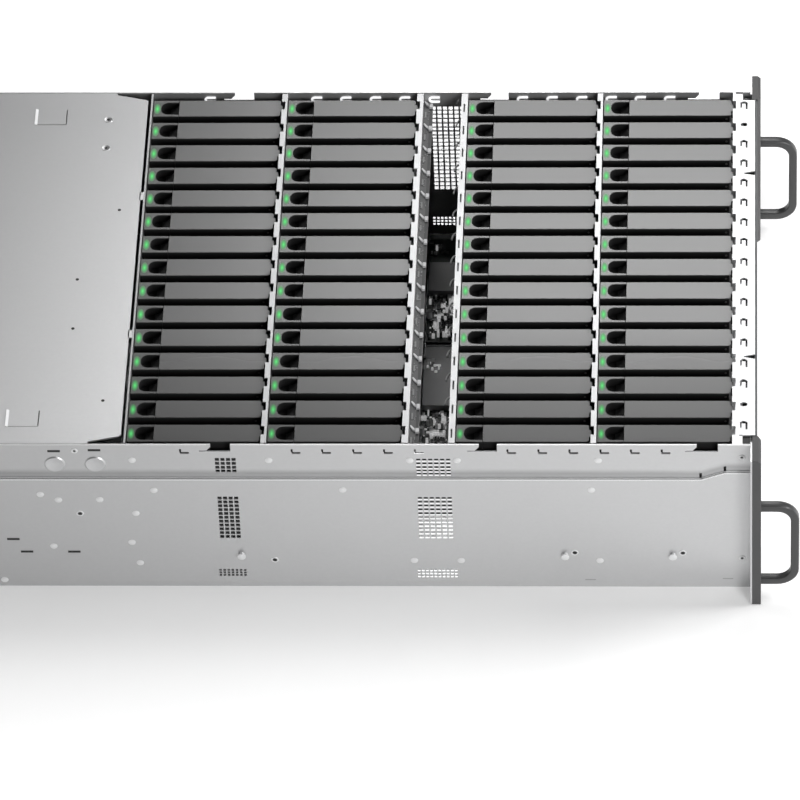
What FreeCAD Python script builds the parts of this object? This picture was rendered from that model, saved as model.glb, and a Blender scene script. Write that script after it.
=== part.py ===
"""Disk shelf enclosure: a 19-inch, four-unit, top-loading chassis with four rows of upright drive carriers.

Millimetres. +X points to the front (handles), +Z up, the origin is the centre of the whole part's footprint
at the underside of the floor. "Left" is -Y, as seen by a person who faces the front.
"""
import FreeCAD, Part
import math
import os

V = FreeCAD.Vector

# ---- drives and carriers -------------------------------------------------------------------------------
DRIVE_LENGTH = 147.0        # the drive stands on its connector end
DRIVE_WIDTH = 101.6
DRIVE_THICKNESS = 26.1
CARRIERS_PER_ROW = 15
CARRIER_GAP = 2.98          # from one drive to the next, across the row
SLED_CLEARANCE = 0.78       # between neighbouring sleds
SLED_RAIL = 6.0             # thickness of a sled's upright rails
SHOULDER = 3.0              # the sled's top plate, over the drive
BEZEL_HEIGHT = 9.3
BEZEL_WIDTH = 20.4
BEZEL_DROP = 3.7            # the bezels sit this far below the chassis's top edge
BAY_GAP_REAR = 0.7
BAY_GAP_FRONT = 1.3
SCOOP_START = 7.4           # finger scoop, from the bay's rear edge
SCOOP_END = 23.2
SCOOP_WIDTH = 15.6
LEVER_END_GAP = 0.2
LEVER_CLEARANCE = 0.6       # lever over shoulder
LATCH_LENGTH = 9.2
LATCH_SIDE_CLEARANCE = 0.3
LATCH_HEIGHT = 6.0
LATCH_TOE = 2.2             # height of the latch's low end

# ---- chassis sheet metal -------------------------------------------------------------------------------
FLOOR = 1.5
PAN_SHEET = 1.5
UPPER_SHEET = 1.2
SIDE_CLEARANCE = 0.5        # outermost carrier to the wall
UPPER_SETBACK = 0.3         # upper walls stand this far inside the pan's walls
PAN_TOP_DROP = 41.7         # top edge of the pan's walls, below the chassis's top
PAN_FRONT_RISE = 8.4        # the edge steps up near the ears
PAN_RISE_START = 48.4       # behind the front plane
PAN_RISE_END = 27.5
JOGGLE_BEND_LOW = 5.0       # above the pan's edge
JOGGLE_BEND_HIGH = 12.2
LAP = 12.3                  # how far the upper wall reaches down behind the pan's wall
DIVIDER_SHEET = 1.2
DIVIDER_FLANGE = 4.8
CHANNEL_FLANGE = 5.6
CHANNEL_WIDTH = 34.2
REAR_DIVIDER_SHEET = 1.5
FLANGE_NOTCH_DEPTH = 2.8
FLANGE_NOTCH_WIDTH = 10.3
DIVIDER_WINDOWS = 4
DIVIDER_WINDOW_WEB = 20.0       # metal left between two windows
DIVIDER_WINDOW_MARGIN = 26.0    # from the divider's lower and upper ends
BOARD_TO_DIVIDER = 0.5

TOP_NOTCH_PLACES = (44.4, 231.0, 459.4)     # behind the front plane, for the top covers' hooks
TOP_NOTCH_WIDTH = 20.5
TOP_NOTCH_DEPTH = 8.5
TOP_NOTCH_SLIT = 6.5
TOP_NOTCH_SLIT_HEIGHT = 1.4
TOP_NOTCH_LEAN = 3.2

VENT_PITCH = 9.52
VENT_SLOT = 7.2
REAR_VENT_PLACE = 454.0     # behind the front plane, centre of the vents beside row 1
REAR_VENT_COLUMNS = 2
CHANNEL_VENT_COLUMNS = 3
CHANNEL_VENT_OFFSET = 3.2   # the channel's vents sit this far forward of its middle
LOWER_VENT_DROP = 65.0      # top of the pan's vents, below the chassis's top
LOWER_VENT_HEIGHT = 51.2
UPPER_VENT_DROP = 16.3
UPPER_VENT_HEIGHT = 17.9
FOOT_VENT_PLACE = 18.4      # middle of the low vents, above the underside
FOOT_VENT_HEIGHT = 6.0
FOOT_VENT_LENGTH = 25.0

# ---- front ---------------------------------------------------------------------------------------------
RAIL_DEPTH = 21.5
RAIL_SHEET = 1.2
RAIL_LIP = 12.0
RAIL_CORNER = 13.0          # depth of the open corners at the rail's ends
RAIL_CORNER_WIDTH = 16.3
GRILLE_COLUMNS = 9
GRILLE_ROWS = 2
GRILLE_MARGIN = 9.0
GRILLE_WEB = 6.0
GRILLE_SIDE_GAP = 0.2       # to the ears
EAR_OVERHANG = 20.0         # past the pan's walls: 482.6 over both ears
EAR_WIDTH = 31.2
EAR_FRONT = 3.2
EAR_BACK = 4.5
EAR_FLANGE = 1.5
EAR_CHAMFER = 2.5
EAR_LEG = 14.0
EAR_LEG_TOP_GAP = 6.0
EAR_SLOT_INSET = 8.75       # slot centres, from the ears' outer edges: 465.1 apart
EAR_SLOT_SPACING = 101.6
EAR_SLOT_WIDTH = 7.0
EAR_SLOT_LENGTH = 10.3
EAR_WINDOW_MARGIN = 1.5     # bracket's windows round the ears' slots
HANDLE_BAR = 7.2
HANDLE_REACH = 32.7
HANDLE_HEIGHT = 96.8
HANDLE_BASE = 14.7
HANDLE_INSET = 13.6         # bar's centreline, from the ear's outer edge
HANDLE_BEND = 19.0          # outer radius

# ---- boards --------------------------------------------------------------------------------------------
STANDOFF = 4.5
STANDOFF_FLATS = 6.0
BOARD = 2.0
BOARD_EDGE = 1.0
SOCKET_LENGTH = 42.0
SOCKET_WIDTH = 6.0
SOCKET_HEIGHT = 4.7
SEAT_GAP = 0.3
EXPANDER_LENGTH = 118.0
EXPANDER_GAP = 5.0
EXPANDER_FIRST = 5.6        # from the right wall
HEATSINK_WIDTH = 25.3
HEATSINK_LENGTHS = (39.4, 74.0)
HEATSINK_PLACES = (20.0, 4.0)   # from each board's right end
HEATSINK_BASE = 3.0
HEATSINK_FIN = 4.0
HEATSINK_FIN_COUNT = 5
CONNECTOR_LENGTH = 22.0
CONNECTOR_WIDTH = 10.0
CONNECTOR_HEIGHT = 9.0
INDICATOR_WIDTH = 11.4
INDICATOR_DROP = 10.4
INDICATOR_BOARD = 1.6
INDICATOR_END_GAP = 4.0

# ---- rear ----------------------------------------------------------------------------------------------
REAR_BAY_DEPTH = 309.6
REAR_SHEET = 1.2
COVER_SHEET = 1.2
COVER_FRONT_GAP = 2.7
COVER_TAPER = 28.0
COVER_TAPER_WIDTH = 7.0
COVER_CORNER = 4.5
COVER_SIDE_GAP = 0.3
COVER_LIP = 8.0
COVER_TRAVEL = 14.0         # slides rearwards to unhook
COVER_SEAT_GAP = 0.2
COVER_LEDGE = 10.0
COVER_LEDGE_LEG = 9.0
COVER_TAB_WIDTH = 9.6
COVER_TAB_PLACE = 86.5
GRIP_LENGTH = 27.0
GRIP_WIDTH = 21.0
GRIP_PLACE_FRONT = 85.0     # grip's middle, behind the cover's front edge
GRIP_PLACE_SIDE = 189.0
GRIP_DEPTH = 4.0
MODULE_CLEARANCE = 0.3
PSU_WIDTH = 73.5
PSU_HEIGHT = 40.0
PSU_LENGTH = 185.0
IO_LENGTH = 250.0
SHELF_SHEET = 1.2
SHELF_LENGTH = 262.0
FAN_COUNT = 3
FAN_SPACING = 12.0          # between neighbouring fans
FAN_SIDE_MARGIN = 15.8      # from the outer fans to the upper walls
FAN_HEADROOM = 8.0
FAN_DEPTH = 50.0
FAN_WALL = 3.0
FAN_HUB = 21.0
FAN_STRUT = 5.0
FAN_TIP_GAP = 1.5
FAN_BLADES = 5
FAN_BLADE_PITCH = 50.0      # degrees, from the fan's axis
FAN_BLADE_CHORD = 34.0
FAN_BLADE_SHEET = 1.8
IMPELLER_DEPTH = 24.0
FAN_BACK = 4.0
FAN_SIDES = 24              # round parts of the fans are drawn with this many flats
PULL_REACH = 22.0           # pulls stand out this far behind the rear panel
PULL_BAR = 5.0
PSU_PULL_WIDTH = 36.0
PSU_LATCH_WIDTH = 12.0
PSU_LATCH_HEIGHT = 8.0
PSU_LATCH_REACH = 9.0
PSU_LATCH_ROOT = 4.0
PSU_LATCH_TRAVEL = 2.5
PORT_WIDTH = 15.0
PORT_HEIGHT = 9.0
PORT_DEPTH = 14.0
PORT_COUNT = 4
PORT_PITCH = 19.0
IO_LEVER_HEIGHT = 9.0
IO_LEVER_THICKNESS = 5.0
IO_LEVER_LUG = 1.2          # thickness of the lugs that hold the lever's end

# ---- studs for the slide rails -------------------------------------------------------------------------
STUD_PLACES = (72.7, 165.7, 445.3)      # behind the front plane
STUD_HEIGHT = 41.0
STUD_FLATS = 7.0
STUD_LENGTH = 3.4

# ---- sizes that follow ---------------------------------------------------------------------------------
board_bottom = FLOOR + STANDOFF
board_top = board_bottom + BOARD
socket_top = board_top + SOCKET_HEIGHT
drive_bottom = socket_top + SEAT_GAP
drive_top = drive_bottom + DRIVE_LENGTH
shoulder_top = drive_top + SHOULDER
bezel_top = shoulder_top + BEZEL_HEIGHT
body_height = bezel_top + BEZEL_DROP

bay_length = DRIVE_WIDTH + 2 * SLED_RAIL + BAY_GAP_REAR + BAY_GAP_FRONT
carrier_pitch = DRIVE_THICKNESS + CARRIER_GAP
sled_width = carrier_pitch - SLED_CLEARANCE
bay_half = CARRIERS_PER_ROW * carrier_pitch / 2
lap_inner = bay_half + SIDE_CLEARANCE
lap_outer = lap_inner + UPPER_SHEET
pan_half = lap_outer + PAN_SHEET
upper_outer = pan_half - UPPER_SETBACK
upper_inner = upper_outer - UPPER_SHEET
rack_half = pan_half + EAR_OVERHANG
ear_inner = rack_half - EAR_WIDTH

depth = (RAIL_DEPTH + 4 * bay_length + 2 * DIVIDER_FLANGE + 2 * CHANNEL_FLANGE + CHANNEL_WIDTH
         + REAR_DIVIDER_SHEET + REAR_BAY_DEPTH)
front_reach = EAR_FRONT + HANDLE_REACH
front_x = (PULL_REACH + depth + front_reach) / 2 - front_reach
rear_x = front_x - depth
rear_inside = rear_x + REAR_SHEET
wall_front = front_x - EAR_BACK - EAR_FLANGE

row_end = {4: front_x - RAIL_DEPTH}
row_end[3] = row_end[4] - bay_length - DIVIDER_FLANGE
channel_front = row_end[3] - bay_length - CHANNEL_FLANGE
channel_rear = channel_front - CHANNEL_WIDTH
row_end[2] = channel_rear - CHANNEL_FLANGE
row_end[1] = row_end[2] - bay_length - DIVIDER_FLANGE
row_start = {row: end - bay_length for row, end in row_end.items()}

pan_top = body_height - PAN_TOP_DROP
psu_bottom = FLOOR + MODULE_CLEARANCE
shelf_bottom = psu_bottom + PSU_HEIGHT + MODULE_CLEARANCE
shelf_top = shelf_bottom + SHELF_SHEET
fan_bottom = shelf_top + MODULE_CLEARANCE
fan_top = body_height - COVER_SHEET - FAN_HEADROOM
fan_width = (2 * (upper_inner - FAN_SIDE_MARGIN) - (FAN_COUNT - 1) * FAN_SPACING) / FAN_COUNT


# ---- helpers -------------------------------------------------------------------------------------------
def block(x0, x1, y0, y1, z0, z1):
    return Part.makeBox(x1 - x0, y1 - y0, z1 - z0, V(x0, y0, z0))


def prism(points, direction):
    wire = Part.makePolygon(points + [points[0]])
    return Part.Face(wire).extrude(direction)


def prism_xz(points, y0, y1):
    return prism([V(x, y0, z) for x, z in points], V(0, y1 - y0, 0))


def prism_xy(points, z0, z1):
    return prism([V(x, y, z0) for x, y in points], V(0, 0, z1 - z0))


def mirrored(shape):
    return shape.mirror(V(0, 0, 0), V(0, 1, 0))


def many_sided(foot, radius, length, sides):
    """Regular prism of this radius over its corners, from its foot along a length vector."""
    along = V(length).normalize()
    across = V(0, 0, 1) if abs(along.x) > abs(along.z) else V(1, 0, 0)
    first = along.cross(across) * radius
    corners = [foot + FreeCAD.Rotation(along, 360 * i / sides).multVec(first) for i in range(sides)]
    return prism(corners, length)


def hexagonal(foot, flats, length):
    return many_sided(foot, flats / math.sqrt(3), length, 6)


def octagon_corner(thickness):
    """Chamfer that gives a bar of this thickness a half-octagon end about its pivot."""
    return thickness / 2 * (2 - math.sqrt(2))


def carrier_centres():
    first = -(CARRIERS_PER_ROW - 1) / 2
    return [(first + i) * carrier_pitch for i in range(CARRIERS_PER_ROW)]


def save(name, *solids):
    shape = solids[0] if len(solids) == 1 else Part.makeCompound(list(solids))
    shape.exportStep(f"parts/{name}.step")


# ---- base pan: floor and lower side walls, bent from one sheet ------------------------------------------
def vent_slots(top, height, y0, y1):
    """Upright slots through a side wall, beside row 1 and beside the cable channel."""
    slots = []
    for middle, columns in ((front_x - REAR_VENT_PLACE, REAR_VENT_COLUMNS),
                            (channel_vent_middle(), CHANNEL_VENT_COLUMNS)):
        for i in range(columns):
            x = middle + (i - (columns - 1) / 2) * VENT_PITCH
            slots.append(block(x - VENT_SLOT / 2, x + VENT_SLOT / 2, y0, y1, top - height, top))
    return slots


def channel_vent_middle():
    return (channel_front + channel_rear) / 2 + CHANNEL_VENT_OFFSET


def pan_wall():
    front_top = pan_top + PAN_FRONT_RISE
    rise = [(front_x - PAN_RISE_END, front_top), (front_x - PAN_RISE_START, pan_top)]
    outline = [(rear_inside, 0), (wall_front, 0), (wall_front, front_top)] + rise + [(rear_inside, pan_top)]
    wall = prism_xz(outline, lap_outer, pan_half)
    cuts = vent_slots(body_height - LOWER_VENT_DROP, LOWER_VENT_HEIGHT, lap_outer, pan_half)
    low = FOOT_VENT_PLACE - FOOT_VENT_HEIGHT / 2
    for x in (front_x - REAR_VENT_PLACE, channel_vent_middle()):
        cuts.append(block(x - FOOT_VENT_LENGTH / 2, x + FOOT_VENT_LENGTH / 2, lap_outer, pan_half,
                          low, low + FOOT_VENT_HEIGHT))
    return wall.cut(Part.makeCompound(cuts))


def base_pan():
    floor = block(rear_inside, wall_front, -pan_half, pan_half, 0, FLOOR)
    half = ear_inner - GRILLE_SIDE_GAP
    tongue = block(wall_front, front_x - RAIL_SHEET, -half, half, 0, FLOOR)
    wall = pan_wall()
    return floor.fuse([tongue, wall, mirrored(wall)]).removeSplitter()


# ---- upper side walls: joggled so that they lap behind the pan's walls ----------------------------------
def upper_wall_section(x, edge):
    high = edge + JOGGLE_BEND_HIGH
    low = edge + JOGGLE_BEND_LOW
    bottom = pan_top - LAP
    points = [(upper_outer, body_height), (upper_outer, high), (lap_outer, low), (lap_outer, bottom),
              (lap_inner, bottom), (lap_inner, low), (upper_inner, high), (upper_inner, body_height)]
    corners = [V(x, y, z) for y, z in points]
    return Part.makePolygon(corners + [corners[0]])


def top_notch(place):
    """Hook notch in the wall's top edge, with a slit running back from its foot."""
    x = front_x - place
    half = TOP_NOTCH_WIDTH / 2
    foot = body_height - TOP_NOTCH_DEPTH
    slit = foot + TOP_NOTCH_SLIT_HEIGHT
    back = x - half - TOP_NOTCH_SLIT
    outline = [(back, foot), (x + half, foot), (x + half, body_height + 1),
               (x - half + TOP_NOTCH_LEAN, body_height + 1), (x - half, slit), (back, slit)]
    return prism_xz(outline, upper_inner - 1, upper_outer + 1)


def upper_wall():
    raised = pan_top + PAN_FRONT_RISE
    places = [(rear_inside, pan_top), (front_x - PAN_RISE_START, pan_top), (front_x - PAN_RISE_END, raised),
              (wall_front, raised)]
    sections = [upper_wall_section(x, edge) for x, edge in places]
    wall = Part.makeLoft(sections, True, True)
    cuts = [top_notch(place) for place in TOP_NOTCH_PLACES]
    cuts += vent_slots(body_height - UPPER_VENT_DROP, UPPER_VENT_HEIGHT, lap_inner - 1, upper_outer + 1)
    return wall.cut(Part.makeCompound(cuts)).removeSplitter()


def cover_ledge():
    """Angle riveted inside the upper wall, on which the rear cover slides."""
    top = body_height - COVER_SHEET - COVER_SEAT_GAP
    edge = upper_inner - COVER_LEDGE
    leg = upper_inner - UPPER_SHEET
    section = [(edge, top), (upper_inner, top), (upper_inner, top - COVER_LEDGE_LEG),
               (leg, top - COVER_LEDGE_LEG), (leg, top - UPPER_SHEET), (edge, top - UPPER_SHEET)]
    front = row_start[1] - REAR_DIVIDER_SHEET - COVER_FRONT_GAP - COVER_TAPER
    return prism([V(rear_inside, y, z) for y, z in section], V(front - rear_inside, 0, 0))


# ---- front rail, grille, ears, handles ------------------------------------------------------------------
def flange_notches(x):
    """Notches in a flange's rear edge at x, one at each lever's tongue."""
    half = FLANGE_NOTCH_WIDTH / 2
    sheet = max(DIVIDER_SHEET, RAIL_SHEET)
    return [block(x - 1, x + FLANGE_NOTCH_DEPTH, y - half, y + half, body_height - sheet, body_height + 1)
            for y in carrier_centres()]


def front_rail():
    rear = front_x - RAIL_DEPTH
    corner = front_x - RAIL_CORNER
    narrow = upper_inner - RAIL_CORNER_WIDTH
    outline = [(rear, -upper_inner), (corner, -upper_inner), (corner, -narrow), (front_x, -narrow),
               (front_x, narrow), (corner, narrow), (corner, upper_inner), (rear, upper_inner)]
    top = prism_xy(outline, body_height - RAIL_SHEET, body_height)
    lip = block(front_x - RAIL_SHEET, front_x, -narrow, narrow, body_height - RAIL_LIP, body_height)
    return top.fuse(lip).cut(Part.makeCompound(flange_notches(rear))).removeSplitter()


def front_grille():
    half = ear_inner - GRILLE_SIDE_GAP
    top = body_height - RAIL_LIP
    plate = block(front_x - RAIL_SHEET, front_x, -half, half, 0, top)
    width = (2 * (half - GRILLE_MARGIN) - (GRILLE_COLUMNS - 1) * GRILLE_WEB) / GRILLE_COLUMNS
    height = (top - 2 * GRILLE_MARGIN - (GRILLE_ROWS - 1) * GRILLE_WEB) / GRILLE_ROWS
    windows = []
    for i in range(GRILLE_COLUMNS):
        y = -half + GRILLE_MARGIN + i * (width + GRILLE_WEB)
        for j in range(GRILLE_ROWS):
            z = GRILLE_MARGIN + j * (height + GRILLE_WEB)
            windows.append(block(front_x - RAIL_SHEET - 1, front_x + 1, y, y + width, z, z + height))
    return plate.cut(Part.makeCompound(windows))


def ear_slot_heights():
    return [body_height / 2 + side * EAR_SLOT_SPACING / 2 for side in (-1, 1)]


def ear_slots():
    """The rack screws' slots."""
    y = rack_half - EAR_SLOT_INSET
    radius = EAR_SLOT_WIDTH / 2
    offset = (EAR_SLOT_LENGTH - EAR_SLOT_WIDTH) / 2
    back = front_x - EAR_BACK - 1
    reach = EAR_BACK + EAR_FRONT + 2
    slots = []
    for z in ear_slot_heights():
        slots.append(block(back, back + reach, y - offset, y + offset, z - radius, z + radius))
        for end in (-1, 1):
            slots.append(Part.makeCylinder(radius, reach, V(back, y + end * offset, z), V(1, 0, 0)))
    return Part.makeCompound(slots)


def rack_ear():
    ear = block(front_x - EAR_BACK, front_x + EAR_FRONT, ear_inner, rack_half, 0, body_height)
    front_edges = [edge for edge in ear.Edges if all(corner.X > front_x for corner in edge.Vertexes)]
    eased = [edge for edge in front_edges if all(corner.Z == body_height for corner in edge.Vertexes)
             or all(corner.Y == ear_inner for corner in edge.Vertexes)]
    return ear.makeChamfer(EAR_CHAMFER, eased).cut(ear_slots())


def ear_bracket():
    """Steel angle: its leg lies inside the wall. Its flange carries the ear, and clears the rack screws."""
    inner = lap_inner - EAR_FLANGE
    flange = block(wall_front, front_x - EAR_BACK, inner, rack_half, 0, body_height)
    leg = block(wall_front - EAR_LEG, wall_front, inner, lap_inner, FLOOR, body_height - EAR_LEG_TOP_GAP)
    y = rack_half - EAR_SLOT_INSET
    wide = EAR_SLOT_LENGTH / 2 + EAR_WINDOW_MARGIN
    high = EAR_SLOT_WIDTH / 2 + EAR_WINDOW_MARGIN
    windows = [block(wall_front - 1, front_x, y - wide, y + wide, z - high, z + high)
               for z in ear_slot_heights()]
    return flange.fuse(leg).cut(Part.makeCompound(windows)).removeSplitter()


def rounded_u(base, reach, low, high, radius):
    """Closed outline in XZ of a U that opens towards -X, with rounded corners."""
    tip = base + reach
    quarter = radius * math.cos(math.radians(45))
    upper = Part.Arc(V(tip - radius, 0, high), V(tip - radius + quarter, 0, high - radius + quarter),
                     V(tip, 0, high - radius)).toShape()
    lower = Part.Arc(V(tip, 0, low + radius), V(tip - radius + quarter, 0, low + radius - quarter),
                     V(tip - radius, 0, low)).toShape()
    top = Part.makeLine(V(base, 0, high), V(tip - radius, 0, high))
    grip = Part.makeLine(V(tip, 0, high - radius), V(tip, 0, low + radius))
    bottom = Part.makeLine(V(tip - radius, 0, low), V(base, 0, low))
    closing = Part.makeLine(V(base, 0, low), V(base, 0, high))
    return Part.Face(Part.Wire([top, upper, grip, lower, bottom, closing]))


def handle():
    """Bail handle bent from square bar."""
    base = front_x + EAR_FRONT
    low = HANDLE_BASE
    high = HANDLE_BASE + HANDLE_HEIGHT
    outer = rounded_u(base, HANDLE_REACH, low, high, HANDLE_BEND)
    inner = rounded_u(base, HANDLE_REACH - HANDLE_BAR, low + HANDLE_BAR, high - HANDLE_BAR,
                      HANDLE_BEND - HANDLE_BAR)
    bar = outer.cut(inner).extrude(V(0, HANDLE_BAR, 0))
    bar.translate(V(0, rack_half - HANDLE_INSET - HANDLE_BAR / 2, 0))
    return bar.Solids[0]


# ---- dividers -------------------------------------------------------------------------------------------
def windowed(web, x0, x1, bottom):
    """Air windows through a divider's web."""
    pitch = 2 * bay_half / DIVIDER_WINDOWS
    low = bottom + DIVIDER_WINDOW_MARGIN
    high = body_height - DIVIDER_WINDOW_MARGIN
    cuts = []
    for i in range(DIVIDER_WINDOWS):
        y = -bay_half + i * pitch + DIVIDER_WINDOW_WEB / 2
        cuts.append(block(x0 - 1, x1 + 1, y, y + pitch - DIVIDER_WINDOW_WEB, low, high))
    return web.cut(Part.makeCompound(cuts))


def flanged_divider(x, flange, bottom, notched=True):
    """Cross wall whose web stands at the front edge of its top flange. x is the flange's rear edge."""
    front = x + flange
    web = windowed(block(front - DIVIDER_SHEET, front, -lap_inner, lap_inner, bottom, body_height),
                   front - DIVIDER_SHEET, front, bottom)
    top = block(x, front, -lap_inner, lap_inner, body_height - DIVIDER_SHEET, body_height)
    divider = web.fuse(top).removeSplitter()
    if notched:
        divider = divider.cut(Part.makeCompound(flange_notches(x)))
    return divider


def rear_divider():
    """Plain cross wall that closes the drive bays at the rear."""
    front = row_start[1]
    back = front - REAR_DIVIDER_SHEET
    return windowed(block(back, front, -lap_inner, lap_inner, FLOOR, body_height), back, front, FLOOR)


# ---- drive carriers -------------------------------------------------------------------------------------
def sled(x, y):
    """Sled of one carrier: two upright rails, a shoulder over the drive and the housing of the scoop."""
    rear = x + BAY_GAP_REAR
    front = x + bay_length - BAY_GAP_FRONT
    outline = [(rear, drive_bottom), (rear + SLED_RAIL, drive_bottom), (rear + SLED_RAIL, drive_top),
               (front - SLED_RAIL, drive_top), (front - SLED_RAIL, drive_bottom), (front, drive_bottom),
               (front, shoulder_top), (rear, shoulder_top)]
    frame = prism_xz(outline, y - sled_width / 2, y + sled_width / 2)
    start = x + SCOOP_START
    end = x + SCOOP_END
    wide = BEZEL_WIDTH / 2
    open_half = SCOOP_WIDTH / 2
    plan = [(rear, -wide), (end, -wide), (end, -open_half), (start, -open_half),
            (start, open_half), (end, open_half), (end, wide), (rear, wide)]
    housing = prism_xy([(px, y + py) for px, py in plan], shoulder_top, bezel_top)
    return frame.fuse(housing).removeSplitter()


def drive(x, y):
    rear = x + BAY_GAP_REAR + SLED_RAIL
    half = DRIVE_THICKNESS / 2
    return block(rear, rear + DRIVE_WIDTH, y - half, y + half, drive_bottom, drive_top)


def lever(x, y):
    """Lever bar that turns up about its front end, which is cut back to clear the flange as it turns."""
    free_end = x + SCOOP_END + LEVER_END_GAP
    front = x + bay_length - BAY_GAP_FRONT
    bottom = shoulder_top + LEVER_CLEARANCE
    half = BEZEL_WIDTH / 2
    chamfer = octagon_corner(bezel_top - bottom)
    outline = [(free_end, bottom), (front - chamfer, bottom), (front, bottom + chamfer),
               (front, bezel_top - chamfer), (front - chamfer, bezel_top), (free_end, bezel_top)]
    return prism_xz(outline, y - half, y + half)


def latch(x, y):
    """Release latch in the scoop, with a sloped thumb face."""
    front = x + SCOOP_END - LATCH_SIDE_CLEARANCE
    rear = front - LATCH_LENGTH
    low = shoulder_top + LATCH_SIDE_CLEARANCE
    high = low + LATCH_HEIGHT
    half = SCOOP_WIDTH / 2 - LATCH_SIDE_CLEARANCE
    outline = [(rear, low), (front, low), (front, high), (rear, low + LATCH_TOE)]
    return prism_xz(outline, y - half, y + half)


def carriers():
    """Rows of carriers. The first carrier on the left of row 4 has nodes of its own."""
    for row in sorted(row_start):
        centres = carrier_centres()
        if row == 4:
            single = centres.pop(0)
            for name, make in (("sled", sled), ("drive", drive), ("lever", lever), ("latch", latch)):
                save(f"{name}_corner", make(row_start[row], single))
        for name, make in (("sleds", sled), ("drives", drive), ("levers", lever), ("latches", latch)):
            save(f"{name}_row_{row}", *[make(row_start[row], y) for y in centres])


# ---- boards ---------------------------------------------------------------------------------------------
def backplane(first_row, last_row):
    return block(row_start[first_row] + BOARD_EDGE, row_end[last_row] - BOARD_EDGE,
                 -lap_inner + BOARD_EDGE, lap_inner - BOARD_EDGE, board_bottom, board_top)


def socket(x, y):
    middle = x + BAY_GAP_REAR + SLED_RAIL + DRIVE_WIDTH / 2
    return block(middle - SOCKET_LENGTH / 2, middle + SOCKET_LENGTH / 2,
                 y - SOCKET_WIDTH / 2, y + SOCKET_WIDTH / 2, board_top, socket_top)


def expander_span(i):
    """Right and left ends of expander board i."""
    right = lap_inner - EXPANDER_FIRST - i * (EXPANDER_LENGTH + EXPANDER_GAP)
    return right, right - EXPANDER_LENGTH


def expander_board(i):
    right, left = expander_span(i)
    return block(channel_rear + BOARD_EDGE, channel_front - BOARD_EDGE, left, right, board_bottom, board_top)


def standoffs():
    inset = 3 * STANDOFF_FLATS
    spots = []
    for first, last in ((1, 2), (3, 4)):
        for x in (row_start[first] + inset, row_end[last] - inset):
            spots += [(x, y) for y in (inset - lap_inner, lap_inner - inset)]
    middle = (channel_front + channel_rear) / 2
    for i in (0, 1):
        right, left = expander_span(i)
        spots += [(middle, right - STANDOFF_FLATS), (middle, left + STANDOFF_FLATS)]
    return [hexagonal(V(x, y, FLOOR), STANDOFF_FLATS, V(0, 0, STANDOFF)) for x, y in spots]


def heatsink(i):
    """Finned block on expander i, with its fins along the board."""
    right = expander_span(i)[0] - HEATSINK_PLACES[i]
    left = right - HEATSINK_LENGTHS[i]
    rear = channel_rear + 2 * BOARD_EDGE
    base = block(rear, rear + HEATSINK_WIDTH, left, right, board_top, board_top + HEATSINK_BASE)
    pitch = HEATSINK_WIDTH / (2 * HEATSINK_FIN_COUNT - 1)
    fins = [block(rear + 2 * n * pitch, rear + (2 * n + 1) * pitch, left, right,
                  board_top + HEATSINK_BASE, board_top + HEATSINK_BASE + HEATSINK_FIN)
            for n in range(HEATSINK_FIN_COUNT)]
    return base.fuse(fins).removeSplitter()


def expander_connectors():
    """Two cable connectors near the left end of each board."""
    found = []
    middle = (channel_front + channel_rear) / 2
    for i in (0, 1):
        left = expander_span(i)[1]
        for n in (0, 1):
            y = left + BOARD_EDGE + n * (CONNECTOR_WIDTH + BOARD_EDGE)
            found.append(block(middle - CONNECTOR_LENGTH / 2, middle + CONNECTOR_LENGTH / 2,
                               y, y + CONNECTOR_WIDTH, board_top, board_top + CONNECTOR_HEIGHT))
    return found


def indicator_board():
    top = body_height - INDICATOR_DROP
    half = lap_inner - INDICATOR_END_GAP
    return block(channel_rear, channel_rear + INDICATOR_WIDTH, -half, half, top - INDICATOR_BOARD, top)


# ---- rear: cover, panel, shelf and modules --------------------------------------------------------------
def rear_cover():
    front = row_start[1] - REAR_DIVIDER_SHEET - COVER_FRONT_GAP
    wide = upper_inner - COVER_SIDE_GAP
    narrow = wide - COVER_TAPER_WIDTH
    low = body_height - COVER_SHEET
    side = [(rear_x, wide), (front - COVER_TAPER, wide), (front - COVER_CORNER, narrow),
            (front, narrow - COVER_CORNER)]
    plan = side + [(x, -y) for x, y in reversed(side)]
    sheet = prism_xy(plan, low, body_height)
    half = COVER_TAB_WIDTH / 2
    tabs = [block(front, front + COVER_FRONT_GAP, y - half, y + half, low, body_height)
            for y in (-COVER_TAB_PLACE, COVER_TAB_PLACE)]
    lip = upper_inner - COVER_LEDGE - 2 * COVER_SIDE_GAP
    lips = []
    for y in (lip - COVER_SHEET, -lip):
        lips.append(block(rear_inside + COVER_TRAVEL + SEAT_GAP, front - COVER_TAPER, y, y + COVER_SHEET,
                          low - COVER_LIP, low))
    grip_x = front - GRIP_PLACE_FRONT
    long = GRIP_LENGTH / 2
    wide = GRIP_WIDTH / 2
    rim = COVER_SHEET
    floor = body_height - GRIP_DEPTH
    trays = []
    pockets = []
    for y in (-GRIP_PLACE_SIDE, GRIP_PLACE_SIDE):
        trays.append(block(grip_x - long - rim, grip_x + long + rim, y - wide - rim, y + wide + rim,
                           floor - rim, low))
        pockets.append(block(grip_x - long, grip_x + long, y - wide, y + wide, floor, body_height + 1))
    return sheet.fuse(tabs + lips + trays).cut(Part.makeCompound(pockets)).removeSplitter()


def fan_centres():
    pitch = fan_width + FAN_SPACING
    return [(i - (FAN_COUNT - 1) / 2) * pitch for i in range(FAN_COUNT)]


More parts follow.
